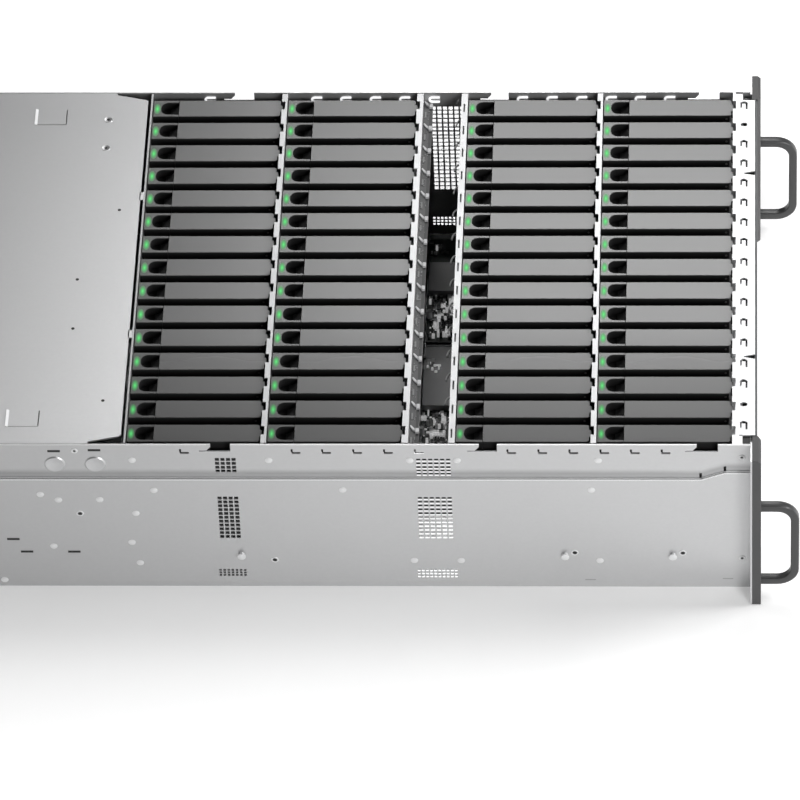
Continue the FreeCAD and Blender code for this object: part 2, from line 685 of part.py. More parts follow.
def module_spans():
    """Left and right edges of the modules under the shelf: supply, in/out, in/out, supply."""
    edge = lap_outer - MODULE_CLEARANCE
    psu_inner = edge - PSU_WIDTH
    io_outer = psu_inner - 2 * MODULE_CLEARANCE - SHELF_SHEET
    io_inner = MODULE_CLEARANCE + SHELF_SHEET / 2
    return {"psu_left": (-edge, -psu_inner), "io_left": (-io_outer, -io_inner),
            "io_right": (io_inner, io_outer), "psu_right": (psu_inner, edge)}


def rear_panel():
    top = body_height - COVER_SHEET - COVER_SEAT_GAP
    panel = block(rear_x, rear_inside, -pan_half, pan_half, 0, top)
    gap = MODULE_CLEARANCE
    cuts = []
    for y0, y1 in module_spans().values():
        cuts.append(block(rear_x - 1, rear_inside + 1, y0 - gap, y1 + gap, FLOOR, shelf_bottom))
    for y in fan_centres():
        cuts.append(block(rear_x - 1, rear_inside + 1, y - fan_width / 2 - gap, y + fan_width / 2 + gap,
                          shelf_top, fan_top + gap))
    return panel.cut(Part.makeCompound(cuts))


def module_shelf():
    """Shelf over the supplies and the in/out modules, with the webs that guide the modules and the fans."""
    front = rear_inside + SHELF_LENGTH
    plate = block(rear_inside, front, -lap_outer, lap_outer, shelf_bottom, shelf_top)
    webs = []
    io_outer = module_spans()["io_right"][1] + MODULE_CLEARANCE
    for y in (-io_outer - SHELF_SHEET, -SHELF_SHEET / 2, io_outer):
        webs.append(block(rear_inside, front, y, y + SHELF_SHEET, FLOOR, shelf_bottom))
    for left, right in zip(fan_centres(), fan_centres()[1:]):
        middle = (left + right) / 2
        half = FAN_SPACING / 2 - MODULE_CLEARANCE
        webs.append(block(rear_inside, rear_inside + FAN_DEPTH, middle - half, middle + half,
                          shelf_top, fan_top))
    return plate.fuse(webs).removeSplitter()


def fan_axis():
    return (fan_bottom + fan_top) / 2


def fan_bore():
    return min(fan_width, fan_top - fan_bottom) / 2 - FAN_WALL


def fan_module(y):
    """Fan housing with its bore, and the motor's base on four struts at the rear."""
    front = rear_x + FAN_DEPTH
    axis = fan_axis()
    housing = block(rear_x, front, y - fan_width / 2, y + fan_width / 2, fan_bottom, fan_top)
    bore = many_sided(V(rear_x - 1, y, axis), fan_bore(), V(FAN_DEPTH + 2, 0, 0), FAN_SIDES)
    hub = many_sided(V(rear_x, y, axis), FAN_HUB, V(FAN_BACK, 0, 0), FAN_SIDES)
    reach = fan_bore() + FAN_WALL / 2
    half = FAN_STRUT / 2
    struts = [block(rear_x, rear_x + FAN_BACK, y - half, y + half, axis - reach, axis + reach),
              block(rear_x, rear_x + FAN_BACK, y - reach, y + reach, axis - half, axis + half)]
    return housing.cut(bore).fuse([hub] + struts).removeSplitter()


def fan_impeller(y):
    """Impeller with pitched blades, whose hub covers the motor and runs on the motor's base."""
    back = rear_x + FAN_BACK + SEAT_GAP
    axis = fan_axis()
    hub = many_sided(V(back, y, axis), FAN_HUB, V(IMPELLER_DEPTH, 0, 0), FAN_SIDES)
    clear = fan_bore() * math.cos(math.pi / FAN_SIDES) - FAN_TIP_GAP
    tip = math.sqrt(clear ** 2 - (FAN_BLADE_CHORD / 2) ** 2)
    root = FAN_HUB - 2 * FAN_BLADE_SHEET
    blades = []
    for i in range(FAN_BLADES):
        blade = Part.makeBox(FAN_BLADE_CHORD, FAN_BLADE_SHEET, tip - root,
                             V(-FAN_BLADE_CHORD / 2, -FAN_BLADE_SHEET / 2, root))
        blade.rotate(V(0, 0, 0), V(0, 0, 1), FAN_BLADE_PITCH)
        blade.rotate(V(0, 0, 0), V(1, 0, 0), 360 * i / FAN_BLADES)
        blade.translate(V(back + IMPELLER_DEPTH / 2, y, axis))
        blades.append(blade)
    return hub.fuse(blades).removeSplitter()


def pull_loop(y0, y1, z, height):
    """Flat U-shaped pull that stands out behind a module's face."""
    outer = block(rear_x - PULL_REACH, rear_x, y0, y1, z - height / 2, z + height / 2)
    inner = block(rear_x - PULL_REACH + PULL_BAR, rear_x + 1, y0 + PULL_BAR, y1 - PULL_BAR,
                  z - height, z + height)
    return outer.cut(inner)


def psu(y0, y1):
    """Power supply: case, inlet recess and pull."""
    top = psu_bottom + PSU_HEIGHT
    middle = (y0 + y1) / 2
    height = psu_bottom + PSU_HEIGHT / 2
    case = block(rear_x, rear_x + PSU_LENGTH, y0, y1, psu_bottom, top)
    inlet_y = y1 - 2 * PULL_BAR
    inlet = block(rear_x - 1, rear_x + PORT_DEPTH, inlet_y - 2 * PORT_HEIGHT, inlet_y,
                  height - PORT_WIDTH, height + PORT_WIDTH - PORT_HEIGHT)
    latch_y, latch_top = psu_latch_place(y0)
    slot = block(rear_x - 1, rear_x + PSU_LATCH_ROOT + SEAT_GAP,
                 latch_y - PSU_LATCH_TRAVEL - SEAT_GAP, latch_y + PSU_LATCH_WIDTH + SEAT_GAP,
                 latch_top - PSU_LATCH_HEIGHT - SEAT_GAP, latch_top + SEAT_GAP)
    pull = pull_loop(y0 + PULL_BAR, y0 + PULL_BAR + PSU_PULL_WIDTH, height, PULL_BAR * 2)
    return case.cut(inlet).cut(slot).fuse(pull).removeSplitter()


def psu_latch_place(y0):
    """Left side and top of the latch tab of the supply whose left side is y0."""
    return (y0 + PULL_BAR + PSU_PULL_WIDTH + PSU_LATCH_TRAVEL + MODULE_CLEARANCE,
            psu_bottom + PSU_HEIGHT - PULL_BAR / 2)


def psu_latch(y0):
    """Latch tab in its slot. It is pressed towards the pull."""
    y, top = psu_latch_place(y0)
    return block(rear_x - PSU_LATCH_REACH, rear_x + PSU_LATCH_ROOT, y, y + PSU_LATCH_WIDTH,
                 top - PSU_LATCH_HEIGHT, top)


def io_module(y0, y1):
    """Input/output module: case with its row of ports and the two lugs that hold its ejector lever."""
    top = psu_bottom + PSU_HEIGHT
    case = block(rear_x, rear_x + IO_LENGTH, y0, y1, psu_bottom, top)
    ports = []
    low = psu_bottom + PULL_BAR
    for i in range(PORT_COUNT):
        y = y0 + 2 * PULL_BAR + i * PORT_PITCH
        ports.append(block(rear_x - 1, rear_x + PORT_DEPTH, y, y + PORT_WIDTH, low, low + PORT_HEIGHT))
    high = top - PULL_BAR + SEAT_GAP
    back = rear_x - MODULE_CLEARANCE - IO_LEVER_THICKNESS
    lugs = [block(back, rear_x, y1 - PULL_BAR - IO_LEVER_THICKNESS, y1 - PULL_BAR, z, z + IO_LEVER_LUG)
            for z in (high, high - IO_LEVER_HEIGHT - 2 * SEAT_GAP - IO_LEVER_LUG)]
    return case.cut(Part.makeCompound(ports)).fuse(lugs).removeSplitter()


def io_lever(y0, y1):
    """Ejector lever across the module's face. It turns about the pin between the lugs at its right end."""
    top = psu_bottom + PSU_HEIGHT - PULL_BAR
    front = rear_x - MODULE_CLEARANCE
    back = front - IO_LEVER_THICKNESS
    right = y1 - PULL_BAR
    left = y0 + PULL_BAR
    corner = octagon_corner(IO_LEVER_THICKNESS)
    tab = left + 2 * PULL_BAR
    plan = [(front, left), (front, right - corner), (front - corner, right), (back + corner, right),
            (back, right - corner), (back, tab),
            (back - IO_LEVER_THICKNESS, tab), (back - IO_LEVER_THICKNESS, left)]
    return prism_xy(plan, top - IO_LEVER_HEIGHT, top)


# ---- studs ----------------------------------------------------------------------------------------------
def rail_studs():
    """Hexagonal studs on the pan's walls, for the holes of the slide rails."""
    studs = []
    for place in STUD_PLACES:
        stud = hexagonal(V(front_x - place, pan_half, STUD_HEIGHT), STUD_FLATS, V(0, STUD_LENGTH, 0))
        studs += [stud, mirrored(stud)]
    return studs


# ---- writing the nodes ----------------------------------------------------------------------------------
def main():
    os.makedirs("parts", exist_ok=True)
    save("base_pan", base_pan())
    wall = upper_wall()
    ledge = cover_ledge()
    save("upper_wall_right", wall, ledge)
    save("upper_wall_left", mirrored(wall), mirrored(ledge))
    save("front_rail", front_rail())
    save("front_grille", front_grille())
    for name, make in (("rack_ear", rack_ear), ("handle", handle)):
        right = make()
        save(f"{name}_right", right)
        save(f"{name}_left", mirrored(right))
    bracket = ear_bracket()
    save("ear_brackets", bracket, mirrored(bracket))
    save("divider_1", rear_divider())
    over_board = board_top + BOARD_TO_DIVIDER
    save("divider_2", flanged_divider(row_end[1], DIVIDER_FLANGE, over_board))
    save("divider_3", flanged_divider(row_end[2], CHANNEL_FLANGE, FLOOR))
    save("divider_4", flanged_divider(channel_front, CHANNEL_FLANGE, FLOOR, notched=False))
    save("divider_5", flanged_divider(row_end[3], DIVIDER_FLANGE, over_board))
    carriers()
    save("drive_backplanes", backplane(1, 2), backplane(3, 4))
    sockets = [socket(row_start[row], y) for row in sorted(row_start) for y in carrier_centres()]
    save("drive_sockets", *sockets)
    save("board_standoffs", *standoffs())
    save("expander_boards", expander_board(0), expander_board(1))
    save("expander_heatsinks", heatsink(0), heatsink(1))
    save("expander_connectors", *expander_connectors())
    save("indicator_board", indicator_board())
    save("rear_cover", rear_cover())
    save("rear_panel", rear_panel())
    save("module_shelf", module_shelf())
    for i, y in enumerate(fan_centres()):
        save(f"fan_module_{i + 1}", fan_module(y))
        save(f"fan_impeller_{i + 1}", fan_impeller(y))
    spans = module_spans()
    for side in ("left", "right"):
        save(f"power_supply_{side}", psu(*spans[f"psu_{side}"]))
        save(f"power_latch_{side}", psu_latch(spans[f"psu_{side}"][0]))
        save(f"io_module_{side}", io_module(*spans[f"io_{side}"]))
        save(f"io_lever_{side}", io_lever(*spans[f"io_{side}"]))
    save("rail_studs", *rail_studs())


main()
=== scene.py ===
import math

import bmesh
import bpy
import numpy as np
from mathutils import Euler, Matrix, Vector


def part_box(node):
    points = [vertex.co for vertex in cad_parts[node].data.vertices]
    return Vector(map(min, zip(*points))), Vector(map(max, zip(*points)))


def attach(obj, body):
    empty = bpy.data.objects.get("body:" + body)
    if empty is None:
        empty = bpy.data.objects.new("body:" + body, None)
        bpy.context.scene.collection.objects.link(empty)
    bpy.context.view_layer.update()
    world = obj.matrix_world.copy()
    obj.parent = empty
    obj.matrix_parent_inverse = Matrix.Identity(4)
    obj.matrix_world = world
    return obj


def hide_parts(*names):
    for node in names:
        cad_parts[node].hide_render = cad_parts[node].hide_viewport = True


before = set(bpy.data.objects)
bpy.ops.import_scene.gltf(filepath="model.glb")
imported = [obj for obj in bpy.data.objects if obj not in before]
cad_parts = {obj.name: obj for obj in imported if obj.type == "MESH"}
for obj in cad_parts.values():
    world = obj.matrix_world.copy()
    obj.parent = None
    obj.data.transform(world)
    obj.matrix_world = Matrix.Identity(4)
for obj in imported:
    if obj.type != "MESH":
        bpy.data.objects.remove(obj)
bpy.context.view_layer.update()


# ---- Camera -------------------------------------------------------------------------------------------
# A long lens, far from the shelf and above its left side. It looks down on the open top, so that the
# carriers, the cable channel and the left wall all show.
camera = bpy.data.objects.new("camera", bpy.data.cameras.new("camera"))
camera.data.lens = 338.2759
camera.data.sensor_width = 36.0
camera.data.clip_end = 40.0
camera.location = (0.410079, -4.704045, 4.733018)
camera.rotation_euler = Euler([math.radians(angle) for angle in (44.9039, 1.8631, 1.8867)], "XYZ")
bpy.context.scene.collection.objects.link(camera)
bpy.context.scene.camera = camera
bpy.context.scene.view_settings.view_transform = "Standard"


# ---- Floor and light ----------------------------------------------------------------------------------
# A seamless white sweep under the shelf. A large soft lamp hangs behind it and a little to the right, so
# the shadow falls towards the viewer. A weak wide lamp in front keeps the left wall open.
class Socket:
    """Output of a shader node. Python's operators on it add Math nodes."""

    def __init__(self, finish, output):
        self.finish = finish
        self.output = output

    def math(self, operation, first, second=0.0):
        return self.finish.node("ShaderNodeMath", {"operation": operation}, {0: first, 1: second})

    def __add__(self, other):
        return self.math("ADD", self, other)

    def __sub__(self, other):
        return self.math("SUBTRACT", self, other)

    def __rsub__(self, other):
        return self.math("SUBTRACT", other, self)

    def __mul__(self, other):
        return self.math("MULTIPLY", self, other)

    def __truediv__(self, other):
        return self.math("DIVIDE", self, other)

    def __pow__(self, other):
        return self.math("POWER", self, other)

    def __abs__(self):
        return self.math("ABSOLUTE", self)

    __radd__ = __add__
    __rmul__ = __mul__

    def above(self, limit):
        return self.math("GREATER_THAN", self, limit)

    def fraction(self):
        return self.math("FRACT", self)

    def clamped(self):
        return self.finish.node("ShaderNodeClamp", {}, {0: self})


class Finish:
    """Material with one Principled shader, and the nodes for what varies over its surface."""

    def __init__(self, name):
        self.material = bpy.data.materials.new(name)
        self.material.use_nodes = True
        self.tree = self.material.node_tree
        self.shader = self.tree.nodes["Principled BSDF"]
        self.output = self.tree.nodes["Material Output"]

    def node(self, kind, settings, inputs, output=0):
        """Adds a node: its settings first, then its sockets' values or links. Returns one output."""
        added = self.tree.nodes.new(kind)
        for name, value in settings.items():
            setattr(added, name, value)
        for key, value in inputs.items():
            self.feed(added.inputs[key], value)
        return Socket(self, added.outputs[output])

    def feed(self, socket, value):
        if isinstance(value, Socket):
            self.tree.links.new(value.output, socket)
        elif isinstance(value, tuple) and len(value) == 3 and socket.type == "RGBA":
            socket.default_value = (*value, 1.0)
        else:
            socket.default_value = value

    def set(self, **values):
        """Feeds the shader's sockets: base_color=..., roughness=..., and so on."""
        for name, value in values.items():
            words = name.replace("_", " ").title().replace("Ior", "IOR")
            self.feed(self.shader.inputs[words], value)
        return self

    def place(self):
        """Coordinates in the piece's own frame, in metres."""
        return self.node("ShaderNodeTexCoord", {}, {}, "Object")

    def axis(self, which):
        return self.node("ShaderNodeSeparateXYZ", {}, {0: self.place()}, which)

    def stretched(self, x, y, z):
        return self.node("ShaderNodeMapping", {}, {"Vector": self.place(), "Scale": (x, y, z)})

    def noise(self, scale, detail=2.0, vector=None):
        return self.node("ShaderNodeTexNoise", {}, {"Vector": vector or self.place(), "Scale": scale,
                                                     "Detail": detail})

    def spangle(self, scale):
        return self.node("ShaderNodeTexVoronoi", {}, {"Vector": self.place(), "Scale": scale}, "Color")

    def mix(self, factor, first, second):
        return self.node("ShaderNodeMix", {"data_type": "RGBA"}, {0: factor, 6: first, 7: second}, 2)

    def bump(self, height, strength, distance):
        bumped = self.node("ShaderNodeBump", {}, {"Height": height, "Strength": strength,
                                                  "Distance": distance})
        self.feed(self.shader.inputs["Normal"], bumped)
        return self


def seamless_floor():
    """White floor. It glows a little for the camera and in reflections, and more away from the shadow."""
    darker = (0.86, 0.86, 0.86)
    paler = (0.88, 0.88, 0.88)
    glow = 0.29
    growing = 1.1
    shadow_reach = 0.27
    fade = 0.16
    half = 12.0
    mesh = bpy.data.meshes.new("floor")
    mesh.from_pydata([(-half, -half, 0), (half, -half, 0), (half, half, 0), (-half, half, 0)], [],
                     [(0, 1, 2, 3)])
    floor = bpy.data.objects.new("floor", mesh)
    bpy.context.scene.collection.objects.link(floor)
    finish = Finish("floor_sweep")
    finish.set(base_color=finish.mix(finish.noise(40.0), darker, paler), roughness=0.9,
               specular_ior_level=0.0)
    seen = finish.node("ShaderNodeLightPath", {}, {}, "Is Camera Ray")
    glossy = finish.node("ShaderNodeLightPath", {}, {}, "Is Glossy Ray")
    beside = ((abs(finish.axis("Y")) - shadow_reach) / fade).clamped()
    before = ((abs(finish.axis("X")) - shadow_reach * 2) / fade).clamped()
    seen = seen * (1 + (beside + before) * growing)
    emission = finish.node("ShaderNodeEmission", {}, {"Color": (1.0, 1.0, 1.0),
                                                      "Strength": (seen + glossy) * glow})
    both = finish.node("ShaderNodeAddShader", {}, {0: Socket(finish, finish.shader.outputs[0]),
                                                   1: emission})
    finish.feed(finish.output.inputs["Surface"], both)
    mesh.materials.append(finish.material)


def lamp(name, place, target, size, watts):
    light = bpy.data.lights.new(name, "AREA")
    light.shape = "RECTANGLE"
    light.size, light.size_y = size
    light.energy = watts
    holder = bpy.data.objects.new(name, light)
    holder.location = place
    aim = Vector(target) - Vector(place)
    holder.rotation_euler = aim.to_track_quat("-Z", "Y").to_euler()
    bpy.context.scene.collection.objects.link(holder)


seamless_floor()
world = bpy.data.worlds.new("studio")
world.use_nodes = True
world.node_tree.nodes["Background"].inputs["Color"].default_value = (1.0, 1.0, 1.0, 1.0)
world.node_tree.nodes["Background"].inputs["Strength"].default_value = 0.05
bpy.context.scene.world = world
lamp("key", (0.2, 2.0, 2.08), (0.2, 0.0, 0.1), (0.8, 0.42), 13.0)
lamp("key_right", (0.9, 2.0, 2.08), (0.2, 0.0, 0.1), (0.8, 0.42), 3.5)
lamp("right_side", (2.4, 0.3, 1.7), (0.1, 0.0, 0.1), (1.0, 1.0), 54.0)
lamp("front_fill", (1.6, -2.4, 1.2), (0.2, -0.2, 0.1), (1.0, 1.0), 41.0)


# ---- Base pan -----------------------------------------------------------------------------------------
# Floor and both lower side walls, folded from one zinc-plated steel sheet. The walls' top edges step up
# near the ears, and square holes are punched beside the rear row and beside the cable channel.
MM = 0.001


class Shape:
    """Corners and faces of one piece while it is being made."""

    def __init__(self):
        self.corners = []
        self.faces = []

    def add(self, corners, faces):
        first = len(self.corners)
        self.corners += [tuple(corner) for corner in corners]
        self.faces += [tuple(first + i for i in face) for face in faces]
        return self

    def block(self, low, high):
        corners = [(x, y, z) for x in (low[0], high[0]) for y in (low[1], high[1])
                   for z in (low[2], high[2])]
        faces = [(0, 1, 3, 2), (4, 6, 7, 5), (0, 4, 5, 1), (2, 3, 7, 6), (0, 2, 6, 4), (1, 5, 7, 3)]
        return self.add(corners, faces)

    def rod(self, foot, along, outlines):
        """Skin through outlines (position along, list of (a, b)) about an axis, closed at both ends."""
        axis = Vector(along).normalized()
        side = (axis.orthogonal() if abs(axis.z) > 0.9 else axis.cross((0, 0, 1))).normalized()
        up = side.cross(axis)
        corners = [Vector(foot) + axis * reach + side * a + up * b
                   for reach, outline in outlines for a, b in outline]
        count = len(outlines[0][1])
        faces = [tuple(range(count)), tuple(reversed(range(len(corners) - count, len(corners))))]
        for ring in range(len(outlines) - 1):
            for i in range(count):
                j = (i + 1) % count
                faces.append((ring * count + i, (ring + 1) * count + i, (ring + 1) * count + j,
                              ring * count + j))
        return self.add(corners, faces)

    def turned(self, foot, along, profile, sides=24):
        """Turned part: profile is a list of (position along the axis, radius)."""
        angles = [2 * math.pi * i / sides for i in range(sides)]
        rings = [(reach, [(radius * math.cos(t), radius * math.sin(t)) for t in angles])
                 for reach, radius in profile]
        return self.rod(foot, along, rings)

    def plate(self, outline, direction):
        """Flat plate: its outline as points in space, and the vector through its thickness."""
        count = len(outline)
        far = [Vector(corner) + Vector(direction) for corner in outline]
        sides = [(i, (i + 1) % count, count + (i + 1) % count, count + i) for i in range(count)]
        return self.add(list(outline) + far,
                        [tuple(reversed(range(count))), tuple(range(count, 2 * count))] + sides)

    def swept(self, path, section, up, closed=False):
        """Bar along a path: section is a list of (sideways, upwards) offsets, up the upward direction."""
        path = [Vector(point) for point in path]
        up = Vector(up)
        count = len(section)
        corners = []
        for i, point in enumerate(path):
            before = path[i - 1] if i or closed else point
            after = path[(i + 1) % len(path)] if i + 1 < len(path) or closed else point
            arriving = (point - before).normalized()
            leaving = (after - point).normalized()
            along = (arriving + leaving).normalized()
            side = along.cross(up).normalized()
            mitre = 1 / max(0.4, math.cos(arriving.angle(leaving, 0.0) / 2)) if before != after else 1.0
            if before == point or after == point:
                mitre = 1.0
            corners += [point + side * (a * mitre) + up * b for a, b in section]
        rings = len(path)
        faces = []
        for ring in range(rings if closed else rings - 1):
            for i in range(count):
                j = (i + 1) % count
                there = (ring + 1) % rings
                faces.append((ring * count + i, ring * count + j, there * count + j, there * count + i))
        if not closed:
            faces += [tuple(reversed(range(count))), tuple(range((rings - 1) * count, rings * count))]
        return self.add(corners, faces)

    def sheet(self, us, vs, is_metal, place):
        """Sheet on a grid. is_metal(u, v) says where it is; place(u, v, side) puts its two faces."""
        us = sorted(set(round(u, 7) for u in us))
        vs = sorted(set(round(v, 7) for v in vs))
        kept = {(i, j) for i in range(len(us) - 1) for j in range(len(vs) - 1)
                if is_metal((us[i] + us[i + 1]) / 2, (vs[j] + vs[j + 1]) / 2)}
        corners = []
        faces = []
        numbers = {}

        def number(i, j, side):
            if (i, j, side) not in numbers:
                numbers[i, j, side] = len(corners)
                corners.append(place(us[i], vs[j], side))
            return numbers[i, j, side]

        for i, j in sorted(kept):
            ring = [(i, j), (i + 1, j), (i + 1, j + 1), (i, j + 1)]
            faces.append([number(a, b, 0) for a, b in ring])
            faces.append([number(a, b, 1) for a, b in reversed(ring)])
            beside = [(i, j - 1), (i + 1, j), (i, j + 1), (i - 1, j)]
            for k in range(4):
                if beside[k] not in kept:
                    a = ring[k]
                    b = ring[(k + 1) % 4]
                    faces.append([number(*b, 0), number(*a, 0), number(*a, 1), number(*b, 1)])
        return self.add(corners, faces)

    def make(self, name, finish, body, slot, stands_for=(), bevel=0.0, smooth=False, at=(0, 0, 0)):
        """Makes the object, gives it its finish, and hangs it on its body."""
        mesh = bpy.data.meshes.new(name)
        mesh.from_pydata(self.corners, [], self.faces)
        shaped = bmesh.new()
        shaped.from_mesh(mesh)
        bmesh.ops.recalc_face_normals(shaped, faces=shaped.faces)
        shaped.to_mesh(mesh)
        shaped.free()
        mesh.materials.append(finish.material)
        if smooth:
            mesh.shade_smooth()
            mesh.set_sharp_from_angle(angle=math.radians(35))
        piece = bpy.data.objects.new(name, mesh)
        piece.location = at
        bpy.context.scene.collection.objects.link(piece)
        if bevel:
            edge = piece.modifiers.new("eased_edges", "BEVEL")
            edge.width = bevel
            edge.segments = 2
            edge.angle_limit = math.radians(40)
        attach(piece, body)
        if stands_for:
            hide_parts(*stands_for)
        return piece


def zinc_steel(name, tint=0.66):
    """Zinc-plated sheet: pale, satin, with a faint rolled grain and small crystals."""
    finish = Finish(name)
    grain = finish.noise(60.0, 3.0, finish.stretched(1.0, 14.0, 14.0))
    crystals = finish.node("ShaderNodeSeparateColor", {}, {0: finish.spangle(420.0)})
    cloud = finish.noise(5.0, 2.0)
    mottled = (grain - 0.5) * 0.10 + (crystals - 0.5) * 0.05 + (cloud - 0.5) * 0.05 + 0.5
    finish.colour = finish.mix(mottled, (tint - 0.12, tint - 0.115, tint - 0.105),
                               (tint + 0.12, tint + 0.12, tint + 0.12))
    finish.set(base_color=finish.colour, metallic=0.7, roughness=(grain - 0.5) * 0.12 + 0.38)
    return finish.bump(grain + crystals * 0.3, 0.12, 0.00008)


steel = zinc_steel("zinc_steel")
front_low, front_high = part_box("front_rail")
front_x = front_high.x
body_height = front_high.z
pan_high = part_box("base_pan")[1]
pan_half = pan_high.y
pan_sheet = 1.5 * MM
panel_low, panel_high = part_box("rear_panel")
rear_x = panel_low.x
rear_inside = panel_high.x
wall_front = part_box("rack_ear_right")[0].x - 1.5 * MM
pan_front_top = pan_high.z
pan_top = pan_front_top - 8.4 * MM
rise_start = front_x - 48.4 * MM
rise_end = front_x - 27.5 * MM
upper_half = pan_half - 0.3 * MM
upper_sheet = 1.2 * MM
VENT = 3.6 * MM
VENT_REACH = 20 * MM
rear_vents_x = front_x - 454.0 * MM
channel_vents_x = front_x - 276.3 * MM


def hole_grid(middle, columns, pitch, rows, top, row_pitch, size=VENT):
    """Centres and half-size of a grid of square holes, its top row's centre at top."""
    xs = [middle + (i - (columns - 1) / 2) * pitch for i in range(columns)]
    zs = [top - j * row_pitch for j in range(rows)]
    return [(x, z, size / 2) for x in xs for z in zs]


def small_slots(middle, columns, top, row_pitch):
    """Three rows of smaller holes at the wall's foot."""
    return hole_grid(middle, columns, 3.56 * MM, 3, top, row_pitch, 2.3 * MM)


# Lists of the holes in the walls. The right wall has one tall grid beside the channel.
lower_vents = (hole_grid(rear_vents_x, 4, 4.76 * MM, 11, 110.9 * MM, 4.76 * MM)
               + hole_grid(channel_vents_x, 6, 5.1 * MM, 11, 110.6 * MM, 4.72 * MM)
               + small_slots(rear_vents_x, 7, 21.5 * MM, 3.15 * MM)
               + small_slots(channel_vents_x, 10, 21.5 * MM, 3.8 * MM))
far_channel_rows = hole_grid(channel_vents_x, 6, 5.1 * MM, 21, 157.2 * MM, 4.9 * MM)
far_pan_vents = [hole for hole in lower_vents
                 if abs(hole[0] - channel_vents_x) > VENT_REACH or hole[1] < 30 * MM]
far_pan_vents += [hole for hole in far_channel_rows if hole[1] < 134 * MM]


def grid_lines(holes):
    """Grid lines along the edges of the square holes."""
    xs = [x + side * half for x, z, half in holes for side in (-1, 1)]
    zs = [z + side * half for x, z, half in holes for side in (-1, 1)]
    return xs, zs


def inside_any(holes):
    """Returns a test that says whether a point lies in one of the square holes."""
    spans = [(x - half, x + half, z - half, z + half) for x, z, half in holes]

    def test(x, z):
        return any(x0 < x < x1 and z0 < z < z1 for x0, x1, z0, z1 in spans)
    return test


def step_edge(x, low, high):
    """Height at x of an edge that steps up from low to high near the ears."""
    share = min(1.0, max(0.0, (x - rise_start) / (rise_end - rise_start)))
    return low + (high - low) * share


def even_lines():
    """Grid lines that cut the side walls' length into equal parts."""
    parts = 14
    return [rear_inside + (wall_front - rear_inside) * i / parts for i in range(1, parts)]


def rear_shaded_steel(name):
    """The same sheet, darkened a little towards the rear by painted shade."""
    shaded_rear_end = -0.25
    fade = 0.35
    finish = zinc_steel(name)
    share = 1 - ((finish.axis("X") - shaded_rear_end) / fade).clamped()
    finish.colour = finish.mix(share * 0.13, finish.colour, (0.0, 0.0, 0.0))
    return finish.set(base_color=finish.colour)


def base_pan():
    """Both walls on a grid with their holes, their rounded feet, and the floor."""
    shape = Shape()
    bend = 2.0 * MM
    bend_steps = 3
    for side, holes in ((-1, lower_vents), (1, far_pan_vents)):
        inside = inside_any(holes)
        xs, zs = grid_lines(holes)
        xs += [rear_inside, wall_front, rise_start, rise_end] + even_lines()
        top = pan_top - 1.0 * MM
        zs = [z for z in zs if z < top] + [bend, top, pan_top]

        def place(x, z, face, side=side):
            if z > top:
                z = step_edge(x, pan_top, pan_front_top)
            return (x, side * (pan_half - face * pan_sheet), z)
        shape.sheet(xs, zs, lambda x, z: not inside(x, z), place)
        curve = [(side * (pan_half - bend + bend * math.cos(t)), bend - bend * math.sin(t))
                 for t in (math.pi / 2 * i / bend_steps for i in range(bend_steps + 1))]
        inner = bend - pan_sheet
        curve += [(side * (pan_half - bend + inner * math.cos(t)), bend - inner * math.sin(t))
                  for t in (math.pi / 2 * (1 - i / bend_steps) for i in range(bend_steps + 1))]
        shape.plate([(rear_inside, y, z) for y, z in curve], (wall_front - rear_inside, 0, 0))
    shape.block((rear_inside, -pan_half + bend, 0), (wall_front, pan_half - bend, pan_sheet))
    grille_low, grille_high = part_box("front_grille")
    shape.block((wall_front, grille_low.y, 0), (grille_low.x, grille_high.y, pan_sheet))
    finish = rear_shaded_steel("pan_zinc_steel")
    shape.make("base_pan_sheet", finish, "chassis", "zinc_steel", ["base_pan"])


def glowing_highlight_steel(name, glint):
    """Edges, bumps and pins, painted lighter and made to glow as a painted highlight."""
    finish = zinc_steel(name, 0.84)
    finish.set(emission_color=finish.colour, emission_strength=glint)
    return finish.set(metallic=0.25)


def pan_edges():
    """Sheared top edges of the pan's walls, eased outwards. They glow as a painted highlight."""
    bright = Shape()
    stations = [(rear_inside, pan_top), (rise_start, pan_top), (rise_end, pan_front_top),
                (wall_front, pan_front_top)]
    section = [(0.0, -1.4 * MM), (1.4 * MM, 0.1 * MM), (1.6 * MM, -1.4 * MM)]
    for side in (-1, 1):
        outer = side * (pan_half + 0.1 * MM)
        corners = [(x, outer - side * inwards, top + up) for x, top in stations for inwards, up in section]
        faces = [(0, 1, 2), (9, 10, 11)]
        for ring in range(3):
            for i in range(3):
                j = (i + 1) % 3
                faces.append((ring * 3 + i, ring * 3 + j, ring * 3 + 3 + j, ring * 3 + 3 + i))
        bright.add(corners, faces)
    bright.make("pan_top_edges", edge_steel, "chassis", "zinc_steel")


# A faint and a strong painted highlight: both glow.
bright_steel = glowing_highlight_steel("glowing_highlight_steel", 0.08)
edge_steel = glowing_highlight_steel("glowing_edge_highlight_steel", 1.0)
base_pan()
pan_edges()


# ---- Upper side walls ---------------------------------------------------------------------------------
# Sheet walls joggled inwards so that they lap behind the pan's walls. Hook notches in the top edge and
# small C-shaped lances take the top covers; the same square holes go through.
LANCES = [488.3, 392.9, 366.9, 340.4, 314.1, 287.8, 208.9, 182.5, 156.1, 129.7, 103.8, 77.6]
LANCE_Z = 167.8 * MM
NOTCHES = [(front_x - rear * MM, front_x - front * MM)
           for rear, front in ((469.5, 449.1), (240.4, 221.6), (55.1, 33.6))]
JOGGLE = 1.2 * MM
JOGGLE_LOW = 5.0 * MM
JOGGLE_HIGH = 12.2 * MM
near_channel_rows = hole_grid(channel_vents_x, 6, 5.1 * MM, 5, 157.2 * MM, 4.57 * MM)
rear_rows = hole_grid(rear_vents_x, 4, 4.76 * MM, 4, 157.9 * MM, 4.76 * MM)
cover_underside = body_height - 1.2 * MM


